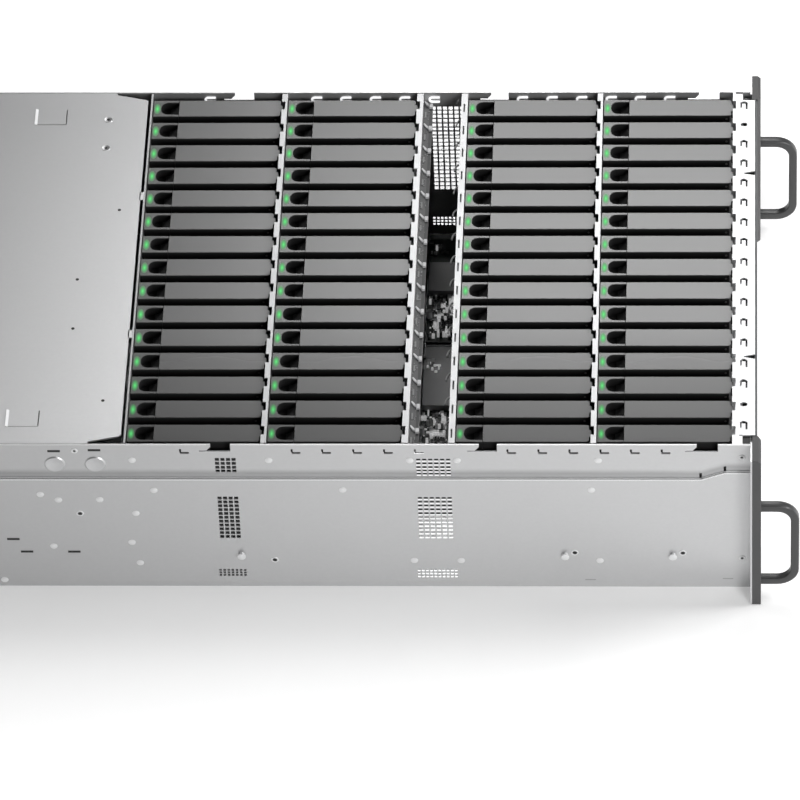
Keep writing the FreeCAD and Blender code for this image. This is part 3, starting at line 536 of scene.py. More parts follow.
def joggled_steel():
    """The same sheet, with painted shade along the joggle, where the pan's edge keeps the light off."""
    finish = rear_shaded_steel("joggled_zinc_steel")
    x = finish.axis("X")
    z = finish.axis("Z")
    lift = ((x - rise_start) / (rise_end - rise_start)).clamped() * (pan_front_top - pan_top)
    above_edge = z - lift - pan_top
    falling = ((11.2 * MM - above_edge) / (6.5 * MM)).clamped()
    recovering = (above_edge / (6.5 * MM)).clamped() * 0.5 + 0.5
    # Painted shade: the colour darkens along the joggle band.
    finish.colour = finish.mix(falling * recovering * 0.42, finish.colour, (0.10, 0.10, 0.105))
    return finish.set(base_color=finish.colour)


def hole_sills():
    """Punched lower edges of the holes beside the channel in the left wall, which glow as a painted
    highlight.
    """
    sills = Shape()
    thick = 0.12 * MM
    for x, z, half in lower_vents + near_channel_rows:
        if abs(x - channel_vents_x) < VENT_REACH:
            depth = 0.0
            if z > pan_top:
                share = min(1.0, max(0.0, (pan_top + JOGGLE_HIGH - z) / (JOGGLE_HIGH - JOGGLE_LOW)))
                depth = 0.3 * MM + JOGGLE * share
            sills.block((x - half, depth - pan_half, z - half),
                        (x + half, depth - pan_half + upper_sheet, z - half + thick))
    sills.make("vent_hole_sills", edge_steel, "chassis", "zinc_steel")


def upper_walls():
    """Both walls on a grid: vents, reliefs, lance slots and notches, then the joggle bent into it."""
    upper_steel = joggled_steel()
    sheet = upper_sheet
    outer = upper_half
    lap = 12.3 * MM
    notch_depth = 8.5 * MM
    slit_height = 1.4 * MM
    slit = 6.5 * MM
    lean = 3.4 * MM
    curl = 4.2 * MM
    reliefs = [(x - 1.1 * MM, x + 1.1 * MM, pan_top - 0.4 * MM, pan_top + 6.4 * MM)
               for x in (369.6 * MM, 390.4 * MM)]
    lance_slots = []
    for back in LANCES:
        x = front_x - back * MM
        lance_slots += [(x - 4.6 * MM, x - 2.9 * MM, LANCE_Z - 1.6 * MM, LANCE_Z + 2.6 * MM),
                        (x - 4.0 * MM, x + 3.6 * MM, LANCE_Z - 3.0 * MM, LANCE_Z - 0.8 * MM)]
    foot = body_height - notch_depth
    near_vents = rear_rows + near_channel_rows
    far_vents = rear_rows + [hole for hole in far_channel_rows if hole[1] > pan_top - lap]
    for side, holes in ((-1, near_vents), (1, far_vents)):
        inside = inside_any(holes)
        cuts = reliefs + (lance_slots if side < 0 else [])
        xs, zs = grid_lines(holes)
        xs += [limit for cut in cuts for limit in cut[:2]]
        zs += [limit for cut in cuts for limit in cut[2:]]
        xs += [rear_inside, wall_front, rise_start, rise_end] + even_lines()
        for start, end in NOTCHES:
            xs += [start - slit, start, start + lean, end]
        levels = [pan_top - lap, pan_top + JOGGLE_LOW, pan_top + JOGGLE_HIGH]
        zs += levels + [foot, foot + slit_height, foot + slit_height + curl, body_height]

        def is_metal(x, z):
            if inside(x, z) or any(a < x < b and c < z < d for a, b, c, d in cuts):
                return False
            for start, end in NOTCHES:
                if z > foot and start < x < end:
                    return False
                if foot < z < foot + slit_height and start - slit < x < end:
                    return False
            return True

        def place(x, z, face, side=side):
            for start, end in NOTCHES:
                if z > foot + slit_height and abs(x - start) < 0.1 * MM:
                    x = start + lean * min(1.0, (z - foot - slit_height) / curl)
            lift = step_edge(x, 0.0, pan_front_top - pan_top)
            share = min(1.0, max(0.0, (z - levels[1]) / (levels[2] - levels[1])))
            blend = min(1.0, max(0.0, (foot - z) / (foot - levels[2])))
            return (x, side * (outer - JOGGLE * (1 - share) - face * sheet), z + lift * blend)
        shape = Shape()
        shape.sheet(xs, zs, is_metal, place)
        top = cover_underside - 0.2 * MM
        reach = outer - sheet - 10.0 * MM
        edge = front_x - 571.0 * MM
        y0, y1 = sorted((side * reach, side * (outer - sheet)))
        shape.block((rear_inside, y0, top - sheet), (edge, y1, top))
        y0, y1 = sorted((side * (outer - sheet), side * (outer - 2 * sheet)))
        shape.block((rear_inside, y0, top - 9.0 * MM), (edge, y1, top - sheet))
        name = "left" if side < 0 else "right"
        shape.make(f"upper_wall_{name}_sheet", upper_steel, "chassis", "zinc_steel", [f"upper_wall_{name}"])
    # Painted shade: dark strips at the notches' feet.
    sills = Shape()
    for start, end in NOTCHES:
        sills.block((start - slit, -outer, foot - 0.02 * MM), (end, sheet - outer, foot + 0.08 * MM))
    sills.make("notch_sills", zinc_steel("notch_shade_zinc_steel", 0.25), "chassis", "zinc_steel")


def c_lances():
    """Pressed C-shaped lips on the right wall's inner face, open towards the front. They glow as a painted
    highlight.
    """
    length = 9.2 * MM
    half = 2.6 * MM
    y = upper_half - upper_sheet
    section = [(-0.9 * MM, 0), (0.9 * MM, 0), (0.6 * MM, 1.1 * MM), (-0.6 * MM, 1.1 * MM)]
    shape = Shape()
    for back in LANCES:
        x = front_x - back * MM
        arc = [(x - length / 2 + half - half * math.cos(t), LANCE_Z + half * math.sin(t))
               for t in (math.pi / 2 - math.pi * i / 8 for i in range(9))]
        path = [(x + length / 2, LANCE_Z + half)] + arc + [(x + length / 2, LANCE_Z - half)]
        shape.swept([(px, y, pz) for px, pz in path], section, (0, -1, 0))
    shape.make("cover_lances", edge_steel, "chassis", "zinc_steel")


def wall_top_edge():
    """Sheared top edge of the left wall, between its notches, painted lighter and glowing faintly as a
    painted highlight.
    """
    ends = [rear_inside] + [end for notch in NOTCHES for end in notch] + [wall_front]
    shape = Shape()
    for start, end in zip(ends[::2], ends[1::2]):
        shape.block((start, -upper_half - 0.08 * MM, body_height - 0.6 * MM),
                    (end, 0.2 * MM - upper_half, body_height + 0.05 * MM))
    shape.make("wall_top_edge", bright_steel, "chassis", "zinc_steel")


hole_sills()
upper_walls()
c_lances()
wall_top_edge()


# ---- Wall fastenings ----------------------------------------------------------------------------------
# Half-pierced dimples, ringed holes, round embosses, slots and screws, and the studs on which the slide
# rails hang. All of them sit in both side walls. Black sheets of painted shade close some of the left
# wall's square holes.
def wall_face(z):
    """Distance from the middle to the outer face of the side wall at height z."""
    return pan_half if z < pan_top else upper_half


def wall_fastenings():
    """Places are (x, z) in mm on the walls."""
    dimples = [(-115.8, 157.0), (1.1, 156.9), (121.7, 156.8), (162.1, 156.8), (282.4, 157.0),
               (-197.2, 115.2), (-182.1, 108.5), (-146.5, 109.0), (-99.2, 120.4), (63.1, 121.2),
               (276.1, 121.3), (-116.2, 92.0), (-189.7, 51.2), (-121.6, 56.0), (-115.9, 30.5),
               (-235.2, 8.9), (121.9, 33.8), (162.4, 33.8), (282.4, 33.9)]
    ringed_holes = [(-164.3, 91.9), (260.8, 43.9), (353.9, 43.7), (1.2, 34.6)]
    discs = [(-182.3, 152.2), (-147.6, 152.2)]
    screws = [(404.8, 161.0), (405.1, 37.4), (-164.6, 168.3)]
    slots = [(-224.2, 59.9), (-213.3, 44.3), (-172.3, 44.3), (-182.3, 168.0), (-147.6, 169.2)]
    dash_marks = [(273.9, 10.0), (392.8, 11.6)]
    heads = Shape()
    embossed = Shape()
    hollows = Shape()
    grey_dashes = Shape()
    for side in (-1, 1):
        for x, z in dimples:
            heads.turned((x * MM, side * wall_face(z * MM), z * MM), (0, side, 0),
                         [(-0.2 * MM, 3.4 * MM), (0.15 * MM, 3.2 * MM), (0.55 * MM, 2.3 * MM),
                          (0.75 * MM, 1.0 * MM)], 20)
        for x, z in ringed_holes:
            foot = (x * MM, side * pan_half, z * MM)
            heads.turned(foot, (0, side, 0), [(0, 3.4 * MM), (0.5 * MM, 3.0 * MM), (0.5 * MM, 2.1 * MM),
                                              (0.05 * MM, 2.0 * MM)], 20)
            hollows.turned(foot, (0, side, 0), [(0, 2.0 * MM), (0.1 * MM, 2.0 * MM)], 20)
        for x, z in discs:
            embossed.turned((x * MM, side * upper_half, z * MM), (0, side, 0),
                            [(0, 9.2 * MM), (0.9 * MM, 8.0 * MM), (0.9 * MM, 7.2 * MM),
                             (0.05 * MM, 5.4 * MM)], 32)
        for x, z in screws:
            foot = (x * MM, side * wall_face(z * MM), z * MM)
            heads.turned(foot, (0, side, 0), [(0, 3.0 * MM), (0.5 * MM, 2.6 * MM), (0.5 * MM, 1.4 * MM),
                                              (0.1 * MM, 1.2 * MM)], 20)
            hollows.turned(foot, (0, side, 0), [(0, 1.2 * MM), (0.12 * MM, 1.2 * MM)], 12)
        for x, z in slots:
            outer = wall_face(z * MM)
            y0, y1 = sorted((side * outer, side * (outer + 0.12 * MM)))
            hollows.block(((x - 5.4) * MM, y0, (z - 1.3) * MM), ((x + 5.4) * MM, y1, (z + 1.2) * MM))
        for x, z in dash_marks:
            y0, y1 = sorted((side * pan_half, side * (pan_half + 0.1 * MM)))
            grey_dashes.block(((x - 4.5) * MM, y0, (z - 0.5) * MM), ((x + 4.5) * MM, y1, (z + 0.5) * MM))
    # The dimples and studs are lightened and glow faintly as a painted highlight.
    heads.make("wall_dimples", bright_steel, "chassis", "zinc_steel", smooth=True)
    embossed.make("wall_embosses", steel, "chassis", "zinc_steel", smooth=True)
    # Dark discs and blocks in the holes and slots are painted shade.
    hollows.make("wall_hollows", black_and_shade_finish, "chassis", "carrier_black")
    # Darker grey dashes low on the walls.
    grey_dashes.make("wall_grey_dashes", zinc_steel("dash_grey_zinc_steel", 0.42), "chassis", "zinc_steel")
    studs = Shape()
    stud_low, stud_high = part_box("rail_studs")
    length = stud_high.y - pan_half
    middle = (stud_low.z + stud_high.z) / 2
    for back in (72.7, 165.7, 445.3):
        for side in (-1, 1):
            foot = (front_x - back * MM, side * pan_half, middle)
            studs.turned(foot, (0, side, 0), [(0, 2.6 * MM), (length - 1.4 * MM, 2.6 * MM),
                                              (length - 1.3 * MM, 3.6 * MM), (length - 0.3 * MM, 3.6 * MM),
                                              (length, 3.1 * MM)], 24)
    studs.make("slide_rail_studs", bright_steel, "chassis", "zinc_steel", ["rail_studs"], smooth=True)


def black_plastic(name, tint=0.012):
    """Moulded plastic with a fine grain and a slightly uneven colour."""
    finish = Finish(name)
    grain = finish.noise(900.0, 2.0)
    cloud = finish.noise(30.0, 2.0)
    finish.set(base_color=finish.mix(cloud, (tint, tint, tint * 1.03), (tint * 1.6,) * 3),
               roughness=(grain - 0.5) * 0.1 + 0.45)
    return finish.bump(grain, 0.15, 0.00005)


def vent_shade_sheets():
    """Black sheets inside the left wall, behind the square holes: painted shade that makes them read dark.
    """
    films = Shape()
    y = -(pan_half - 3.3 * MM)
    thick = 0.25 * MM
    for x0, x1, z0, z1 in ((-50, -24, 57, 162), (127, 156.5, 86, 162)):
        films.block((x0 * MM, y, z0 * MM), (x1 * MM, y + thick, z1 * MM))
    films.make("vent_shade_sheets", black_and_shade_finish, "chassis", "carrier_black")


# Near-black: painted shade in holes, slots and gaps, and the black of the ports' tongues and the inlet's
# rim.
black_and_shade_finish = black_plastic("black_parts_and_hole_shade", 0.01)
wall_fastenings()
vent_shade_sheets()


# ---- Front rail ---------------------------------------------------------------------------------------
# Folded cross rail behind the handles. Its rear edge is notched for the levers' tongues, its ends are cut
# back, and C-lances and slots for the front cover are pressed in its top.
bay_low, bay_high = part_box("sled_corner")
sled_width = bay_high.y - bay_low.y
rows = {n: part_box(f"sleds_row_{n}") for n in (1, 2, 3, 4)}
CARRIERS = 15
REAR_GAP = 0.7 * MM
FRONT_GAP = 1.3 * MM
pitch = (rows[1][1].y - rows[1][0].y - sled_width) / (CARRIERS - 1)
centres = [(i - (CARRIERS - 1) / 2) * pitch for i in range(CARRIERS)]
row_start = {n: rows[n][0].x - REAR_GAP for n in rows}
bay_length = rows[1][1].x + FRONT_GAP - row_start[1]
row_end = {n: row_start[n] + bay_length for n in rows}
NOTCH_DEPTH = 2.8 * MM
NOTCH_WIDTH = 10.3 * MM


def flange_sheet(shape, x0, x1, half, thickness, notched, cuts):
    """Top flange along the shelf's width, with a notch in its rear edge at each carrier and other cuts."""
    ys = [-half, half] + [y + side * NOTCH_WIDTH / 2 for y in centres for side in (-1, 1)]
    xs = [x0, x1] + ([x0 + NOTCH_DEPTH] if notched else [])
    xs += [limit for cut in cuts for limit in cut[:2]]
    ys += [limit for cut in cuts for limit in cut[2:]]

    def is_metal(x, y):
        if notched and x < x0 + NOTCH_DEPTH and any(abs(y - c) < NOTCH_WIDTH / 2 for c in centres):
            return False
        return not any(a < x < b and c < y < d for a, b, c, d in cuts)
    shape.sheet(xs, ys, is_metal, lambda x, y, face: (x, y, body_height - face * thickness))


def front_rail():
    """Flange, bend and front face, and dark sheets of painted shade where the cut-back ends show the
    shelf's inside.
    """
    sheet = 1.2 * MM
    bend = 2.0 * MM
    rear = row_end[4]
    half = front_high.y
    flat_end = front_x - bend
    corner = front_x - 12.7 * MM
    narrow = half - 10.4 * MM
    cuts = [(corner, flat_end, *sorted((side * narrow, side * half))) for side in (-1, 1)]
    lance_x = front_x - 11.7 * MM
    lance_middle = 2.6 * MM
    lance_pitch = 25.0 * MM
    for n in range(-8, 9):
        y = lance_middle + n * lance_pitch
        # The second place from each end has an oval hole instead of a lance.
        if abs(n) == 7:
            cuts += [(lance_x - 3.0 * MM, lance_x + 3.0 * MM, y - 1.3 * MM, y + 1.6 * MM),
                     (lance_x - 1.9 * MM, lance_x + 1.9 * MM, y - 2.1 * MM, y + 2.5 * MM)]
            continue
        cuts += [(lance_x - 1.7 * MM, lance_x + 1.5 * MM, y + 2.1 * MM, y + 5.3 * MM),
                 (lance_x - 3.2 * MM, lance_x - 1.7 * MM, y - 3.0 * MM, y + 4.2 * MM),
                 (lance_x + 1.5 * MM, lance_x + 3.2 * MM, y - 5.0 * MM, y + 4.2 * MM)]
    # Two slots for the front cover's hooks widen towards the bend.
    step_length = 1.9 * MM
    for y in (115.0 * MM, -114.4 * MM):
        for step in range(5):
            x = front_x - 11.5 * MM + step * step_length
            wide = (0.8 + step * 0.45) * MM
            cuts.append((x, min(x + step_length, flat_end), y - wide, y + wide))
    shape = Shape()
    flange_sheet(shape, rear, flat_end, half, sheet, True, cuts)
    shape.block((front_x - sheet, -narrow, front_low.z), (front_x, narrow, body_height - bend))
    bent = Shape()
    curve = [(flat_end + bend * math.sin(t), body_height - bend + bend * math.cos(t))
             for t in (math.pi / 2 * i / 4 for i in range(5))]
    inner = sheet * 0.7
    curve += [(x - (sheet if i == 0 else inner), z - inner) for i, (x, z) in enumerate(reversed(curve))]
    bent.plate([(x, -narrow, z) for x, z in curve], (0, 2 * narrow, 0))
    bent.make("front_rail_bend", bend_shade_steel, "chassis", "zinc_steel", smooth=True)
    # Painted shade: dark sheets under the lances, under the left end's cut-back, and in the seams at both
    # ends.
    shade_sheets = Shape()
    shade_sheets.block((corner, -narrow, body_height - sheet - 1.6 * MM),
                (front_x - sheet, narrow, body_height - sheet - 1.2 * MM))
    shade_sheets.block((corner - 1.0 * MM, 1.5 * MM - half, body_height - 2.0 * MM),
                (wall_front - 0.3 * MM, 1.5 * MM - narrow, body_height - 1.6 * MM))
    shade_sheets.block((corner - 6.4 * MM, half - 2.2 * MM, body_height - 0.4 * MM),
                (corner, half + 0.05 * MM, body_height + 0.06 * MM))
    shade_sheets.block((corner - 2.8 * MM, -narrow - 0.6 * MM, body_height - 0.4 * MM),
                (corner, -narrow + 0.6 * MM, body_height + 0.06 * MM))
    shade_sheets.make("front_rail_shade_sheets", black_and_shade_finish, "chassis", "carrier_black")
    shape.make("front_rail_sheet", steel, "chassis", "zinc_steel", ["front_rail"])


# Painted shade: the rail's rounded bend is darker than the flat sheet.
bend_shade_steel = zinc_steel("bend_shaded_zinc_steel", 0.18)
front_rail()


# ---- Dividers -----------------------------------------------------------------------------------------
# Folded cross walls between the rows. Each has a top flange with notches, or slots, where the levers
# lock, and air windows in its web.
def carried_over(name, finish, bevel=0.0):
    """Gives a frame node its finish, and eases its edges."""
    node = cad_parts[name]
    node.data.materials.clear()
    node.data.materials.append(finish.material)
    if bevel:
        weld = node.modifiers.new("joined_faces", "WELD")
        weld.merge_threshold = 0.01 * MM
        edge = node.modifiers.new("eased_edges", "BEVEL")
        edge.width = bevel
        edge.segments = 2
        edge.angle_limit = math.radians(40)


def divider(name, notched):
    """Top flange, web with its windows, and painted shade under the slots."""
    low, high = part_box(name)
    sheet = 1.2 * MM
    windows = 4
    web_between = 20.0 * MM
    margin = 26.0 * MM
    shape = Shape()
    slots = []
    if not notched:
        middle = (low.x + high.x) / 2 - 0.4 * MM
        slots = [(middle - 0.6 * MM, middle + 0.9 * MM, y - 9.0 * MM, y + 1.8 * MM) for y in centres]
    flange_sheet(shape, low.x, high.x, high.y, sheet, notched, slots)
    half = high.y
    step = 2 * half / windows
    spans = [(-half + i * step + web_between / 2, -half + (i + 1) * step - web_between / 2)
             for i in range(windows)]
    z0 = low.z + margin
    z1 = body_height - margin
    ys = [-half, half] + [limit for span in spans for limit in span]
    shape.sheet(ys, [low.z, z0, z1, high.z - sheet],
                lambda y, z: not (z0 < z < z1 and any(a < y < b for a, b in spans)),
                lambda y, z, face: (high.x - face * sheet, y, z))
    shape.make(f"{name}_sheet", divider_steel, "chassis", "zinc_steel", [name])
    if slots:
        shades = Shape()
        spare = 0.4 * MM
        for x0, x1, y0, y1 in slots:
            shades.block((x0 - spare, y0 - spare, body_height - sheet - 0.5 * MM),
                         (x1 + spare, y1 + spare, body_height - sheet - 0.1 * MM))
        shades.make(f"{name}_slot_shades", black_and_shade_finish, "chassis", "carrier_black")


divider_steel = zinc_steel("divider_zinc_steel", 0.48)
for number in (2, 3, 4, 5):
    divider(f"divider_{number}", number != 4)
carried_over("divider_1", divider_steel)


# ---- Drive carriers -----------------------------------------------------------------------------------
# Black moulded sleds that hold one drive each. The grey bezel has a finger scoop with a latch in it, a
# light pipe beside the scoop, and a long lever that turns up about a pin at its front end.
lever_low, lever_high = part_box("lever_corner")
drive_low, drive_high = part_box("drive_corner")
bezel_top = lever_high.z
bezel_half = (lever_high.y - lever_low.y) / 2
SCOOP_START = 7.4 * MM
SCOOP_END = 23.2 * MM
SCOOP_HALF = 7.8 * MM
SCOOP_NOSE = 6.6 * MM
LAMP_X = 4.1 * MM
CAP = 0.9 * MM
shoulder_top = lever_low.z - 0.6 * MM


def scoop_outline():
    """Blunt half-round at the rear, straight at the front, as (x, y) about the carrier's middle."""
    steps = 16
    arc = []
    for i in range(steps + 1):
        t = math.pi * i / steps
        reach = math.copysign(abs(math.cos(t)) ** 0.85, math.cos(t))
        arc.append((SCOOP_START + SCOOP_NOSE - SCOOP_NOSE * math.sin(t) ** 0.9, SCOOP_HALF * reach))
    return [(SCOOP_END, SCOOP_HALF)] + arc + [(SCOOP_END, -SCOOP_HALF)]


def bezel_pad(shape, y, low, high):
    """Pad round the scoop: a ring between the scoop's outline and the pad's rectangle."""
    inner = scoop_outline()
    count = len(inner)
    last_on_side = 4
    rear = REAR_GAP
    outer = []
    for i, (x, dy) in enumerate(inner):
        from_end = min(i, count - 1 - i)
        if from_end <= last_on_side:
            share = from_end / last_on_side
            outer.append((SCOOP_END + (rear - SCOOP_END) * share, math.copysign(bezel_half, dy)))
        else:
            outer.append((rear, bezel_half * (count // 2 - i) / (last_on_side + 1)))
    rings = [(inner, low), (inner, high), (outer, high), (outer, low)]
    corners = [(x, y + dy, z) for ring, z in rings for x, dy in ring]
    faces = []
    for ring in range(4):
        there = (ring + 1) % 4
        for i in range(count - 1):
            faces.append((ring * count + i, ring * count + i + 1, there * count + i + 1, there * count + i))
    for i in (0, count - 1):
        faces.append(tuple(ring * count + i for ring in range(4)))
    shape.add(corners, faces)


def sled(shape, y):
    """Frame: two uprights and the shoulder plate over the drive, sunk under the lever's front end."""
    rear = REAR_GAP
    front = bay_length - FRONT_GAP
    rail = 6.0 * MM
    corner = 2.2 * MM
    thick = 3.0 * MM
    half = sled_width / 2
    top = shoulder_top
    recess = front - 10.6 * MM
    sunk = top - 2.7 * MM
    plan = [(recess, -half), (recess, half), (rear + corner, half), (rear, half - corner),
            (rear, -half + corner), (rear + corner, -half)]
    shape.plate([(x, y + dy, top - thick) for x, dy in plan], (0, 0, thick))
    plan = [(recess, -half), (front - corner, -half), (front, -half + corner), (front, half - corner),
            (front - corner, half), (recess, half)]
    shape.plate([(x, y + dy, sunk - thick) for x, dy in plan], (0, 0, thick))
    for x0, x1, z in ((rear, rear + rail, top - thick), (front - rail, front, sunk - thick)):
        shape.block((x0, y - half, drive_low.z), (x1, y + half, z))


def lever(shape, y, low, high):
    """Bar with chamfered corners in plan and the tongue that locks in the flange's notch."""
    start = SCOOP_END + 0.2 * MM
    end = bay_length - FRONT_GAP
    chamfer = 1.5 * MM
    plan = [(start, -bezel_half), (end - chamfer, -bezel_half), (end, -bezel_half + chamfer),
            (end, bezel_half - chamfer), (end - chamfer, bezel_half), (start, bezel_half)]
    tongue = 4.2 * MM
    reach = bay_length + 0.6 * MM
    plan[3:3] = [(end, -tongue), (reach, -tongue), (reach, tongue), (end, tongue)]
    shape.plate([(x, y + dy, low) for x, dy in plan], (0, 0, high - low))


def latch(shape, y):
    """Thumb latch: a curved wedge in the scoop's straight end."""
    front = SCOOP_END - 0.3 * MM
    rear = front - 7.0 * MM
    low = shoulder_top + 0.3 * MM
    half = SCOOP_HALF - 0.7 * MM
    steps = 6
    top = [(rear + (front - rear) * i / steps, low + 1.6 * MM + 4.4 * MM * (i / steps) ** 1.8)
           for i in range(steps + 1)]
    outline = [(rear, low)] + top + [(front, low)]
    near = y - half + 2.4 * MM
    shape.plate([(x, near, z) for x, z in outline], (0, y + half - near, 0))
    for x, z in top[2:6]:
        shape.block((x - 0.3 * MM, near + 0.6 * MM, z - 0.4 * MM),
                    (x + 0.3 * MM, y + half - 1.2 * MM, z + 0.7 * MM))


def scoop_lip(shape, y):
    """Scoop's sloping near side, moulded with the bezel."""
    start = SCOOP_START + 3.2 * MM
    near = y - SCOOP_HALF
    section = [(near, bezel_top - 0.5 * MM), (near + 2.0 * MM, bezel_top - 3.4 * MM),
               (near, bezel_top - 3.4 * MM)]
    shape.plate([(start, py, z) for py, z in section], (SCOOP_END - start, 0, 0))


def hinge_pin(shape, y):
    """Steel pin through the lever's front end. Its ends stand a hair proud of both cheeks."""
    reach = bezel_half + 0.12 * MM
    radius = 1.1 * MM
    place = (bay_length - 5.65 * MM, y - reach, 167.95 * MM)
    shape.turned(place, (0, 1, 0), [(0, radius), (2 * reach, radius)], 12)


def bezel_grey(name, lit, light_scale):
    """Mould-textured grey plastic, rougher and darkened by painted shade towards the left. A lit one has
    the light pipe's green glow, with painted green light spilt round it.
    """
    shaded_side = -0.225
    fade = 0.15
    finish = Finish(name)
    grain = finish.noise(1100.0, 2.0)
    cloud = finish.noise(16.0, 2.0)
    plain = finish.mix(cloud, (0.088 * light_scale,) * 3, (0.104 * light_scale,) * 3)
    x = finish.axis("X")
    y = finish.axis("Y")
    polish_and_shade = ((y - shaded_side) / fade).clamped() * 0.8 + 0.2
    dullness = (1 - polish_and_shade) * 0.12 + 0.25
    if lit:
        folded = ((y / pitch + 0.5).fraction() - 0.5) * pitch
        across = (x - LAMP_X) / (3.2 * MM)
        along = (folded + 0.6 * MM) / (7.4 * MM)
        distance = (across * across + along * along) ** 0.5
        normal = finish.node("ShaderNodeNewGeometry", {}, {}, "Normal")
        up = finish.node("ShaderNodeSeparateXYZ", {}, {0: normal}, "Z").above(0.7)
        glow = (1 - distance).clamped() * up
        painted_green_spill = (1 - distance * 0.55).clamped() * up
        # Painted light: green spilt onto the bezel round the light pipe.
        plain = finish.mix(painted_green_spill * 0.6, plain, (0.06, 0.13, 0.07))
        plain = finish.mix(glow, plain, (0.04, 0.22, 0.06))
        finish.set(emission_color=finish.mix(glow ** 1.3, (0.0, 0.0, 0.0), (0.1, 0.85, 0.2)),
                   emission_strength=0.8)
        dullness = dullness + glow * 0.3
    # Painted shade darkens the grey towards the left.
    finish.set(base_color=finish.mix(polish_and_shade, (0.02, 0.02, 0.02), plain),
               roughness=(cloud - 0.5) * 0.02 + dullness)
    return finish.bump(grain, 0.05, 0.00005)


sled_finish = black_plastic("sled_plastic")
latch_finish = black_plastic("latch_plastic", 0.045)
lip_finish = black_plastic("scoop_lip_plastic", 0.09)
pin_finish = zinc_steel("hinge_pin_steel", 0.3)
# Painted light: each row's grey is scaled, the rear row lightest and the middle rows darkest.
row_light_scale = {1: 1.5, 2: 0.93, 3: 0.93, 4: 1.04}
pad_finishes = {n: bezel_grey(f"bezel_plastic_{n}", True, row_light_scale[n]) for n in rows}
lever_finishes = {n: bezel_grey(f"lever_plastic_{n}", False, row_light_scale[n]) for n in rows}
drive_finish = Finish("drive_casting")
drive_finish.set(base_color=drive_finish.mix(drive_finish.noise(300.0), (0.42, 0.42, 0.43),
                                             (0.55, 0.55, 0.56)), metallic=0.9, roughness=0.45)


def carriers():
    """One mesh per row for each part of a carrier. The front row's first carrier stands alone."""
    keys = ("sled", "pad", "cap", "lever", "lever_cap", "latch", "drive", "lip", "pin")
    half = (drive_high.y - drive_low.y) / 2
    drive_rear = 6.7 * MM
    drive_front = drive_rear + drive_high.x - drive_low.x
    for n in rows:
        at = (row_start[n], 0, 0)
        groups = [(f"row_{n}", centres if n != 4 else centres[1:], f"sleds_row_{n}", f"drives_row_{n}",
                   f"carriers_row_{n}", f"levers_row_{n}", f"latches_row_{n}")]
        if n == 4:
            groups.append(("corner", centres[:1], "sled_corner", "drive_corner",
                           "carrier_corner", "lever_corner", "latch_corner"))
        for name, ys, sled_node, drive_node, carrier, lever_node, latch_node in groups:
            shapes = {key: Shape() for key in keys}
            for y in ys:
                sled(shapes["sled"], y)
                bezel_pad(shapes["pad"], y, shoulder_top, bezel_top - CAP)
                bezel_pad(shapes["cap"], y, bezel_top - CAP, bezel_top)
                lever(shapes["lever"], y, lever_low.z, bezel_top - CAP)
                lever(shapes["lever_cap"], y, bezel_top - CAP, bezel_top)
                latch(shapes["latch"], y)
                scoop_lip(shapes["lip"], y)
                hinge_pin(shapes["pin"], y)
                shapes["drive"].block((drive_rear, y - half, drive_low.z),
                                      (drive_front, y + half, drive_high.z))
            shapes["sled"].make(f"sled_frames_{name}", sled_finish, carrier, "carrier_black", [sled_node],
                                bevel=0.35 * MM, at=at)
            shapes["pad"].make(f"bezel_pads_{name}", sled_finish, carrier, "carrier_black", at=at)
            shapes["cap"].make(f"bezel_caps_{name}", pad_finishes[n], carrier, "lever_grey",
                               bevel=0.25 * MM, at=at)
            lever_body = f"{lever_node}_body"
            shapes["lever"].make(f"lever_bars_{name}", sled_finish, lever_body, "carrier_black", at=at)
            shapes["lever_cap"].make(f"lever_caps_{name}", lever_finishes[n], lever_body, "lever_grey",
                                     [lever_node], bevel=0.25 * MM, at=at)
            shapes["latch"].make(f"thumb_latches_{name}", latch_finish, f"{latch_node}_body", "latch_black",
                                 [latch_node], bevel=0.3 * MM, at=at)
            shapes["lip"].make(f"scoop_lips_{name}", lip_finish, carrier, "lever_grey", at=at)
            shapes["pin"].make(f"hinge_pins_{name}", pin_finish, lever_body, "zinc_steel", at=at)
            shapes["drive"].make(f"drive_units_{name}", drive_finish, carrier, "drive_case", [drive_node],
                                 bevel=0.8 * MM, at=at)


carriers()


# ---- Rear cover ---------------------------------------------------------------------------------------
# Flat sheet that slides rearwards on its ledges. Its front corners are tapered, two tabs hook on the
# rearmost divider, and two finger grips are pressed near its sides.
def cover_steel():
    """The same sheet, darkened towards the right side by painted shade."""
    shade_start = -0.19
    fade = 0.38
    finish = zinc_steel("cover_zinc_steel", 0.78)
    share = ((finish.axis("Y") - shade_start) / fade).clamped()
    finish.colour = finish.mix(share * 0.5, finish.colour, (0.25, 0.252, 0.256))
    return finish.set(base_color=finish.colour)


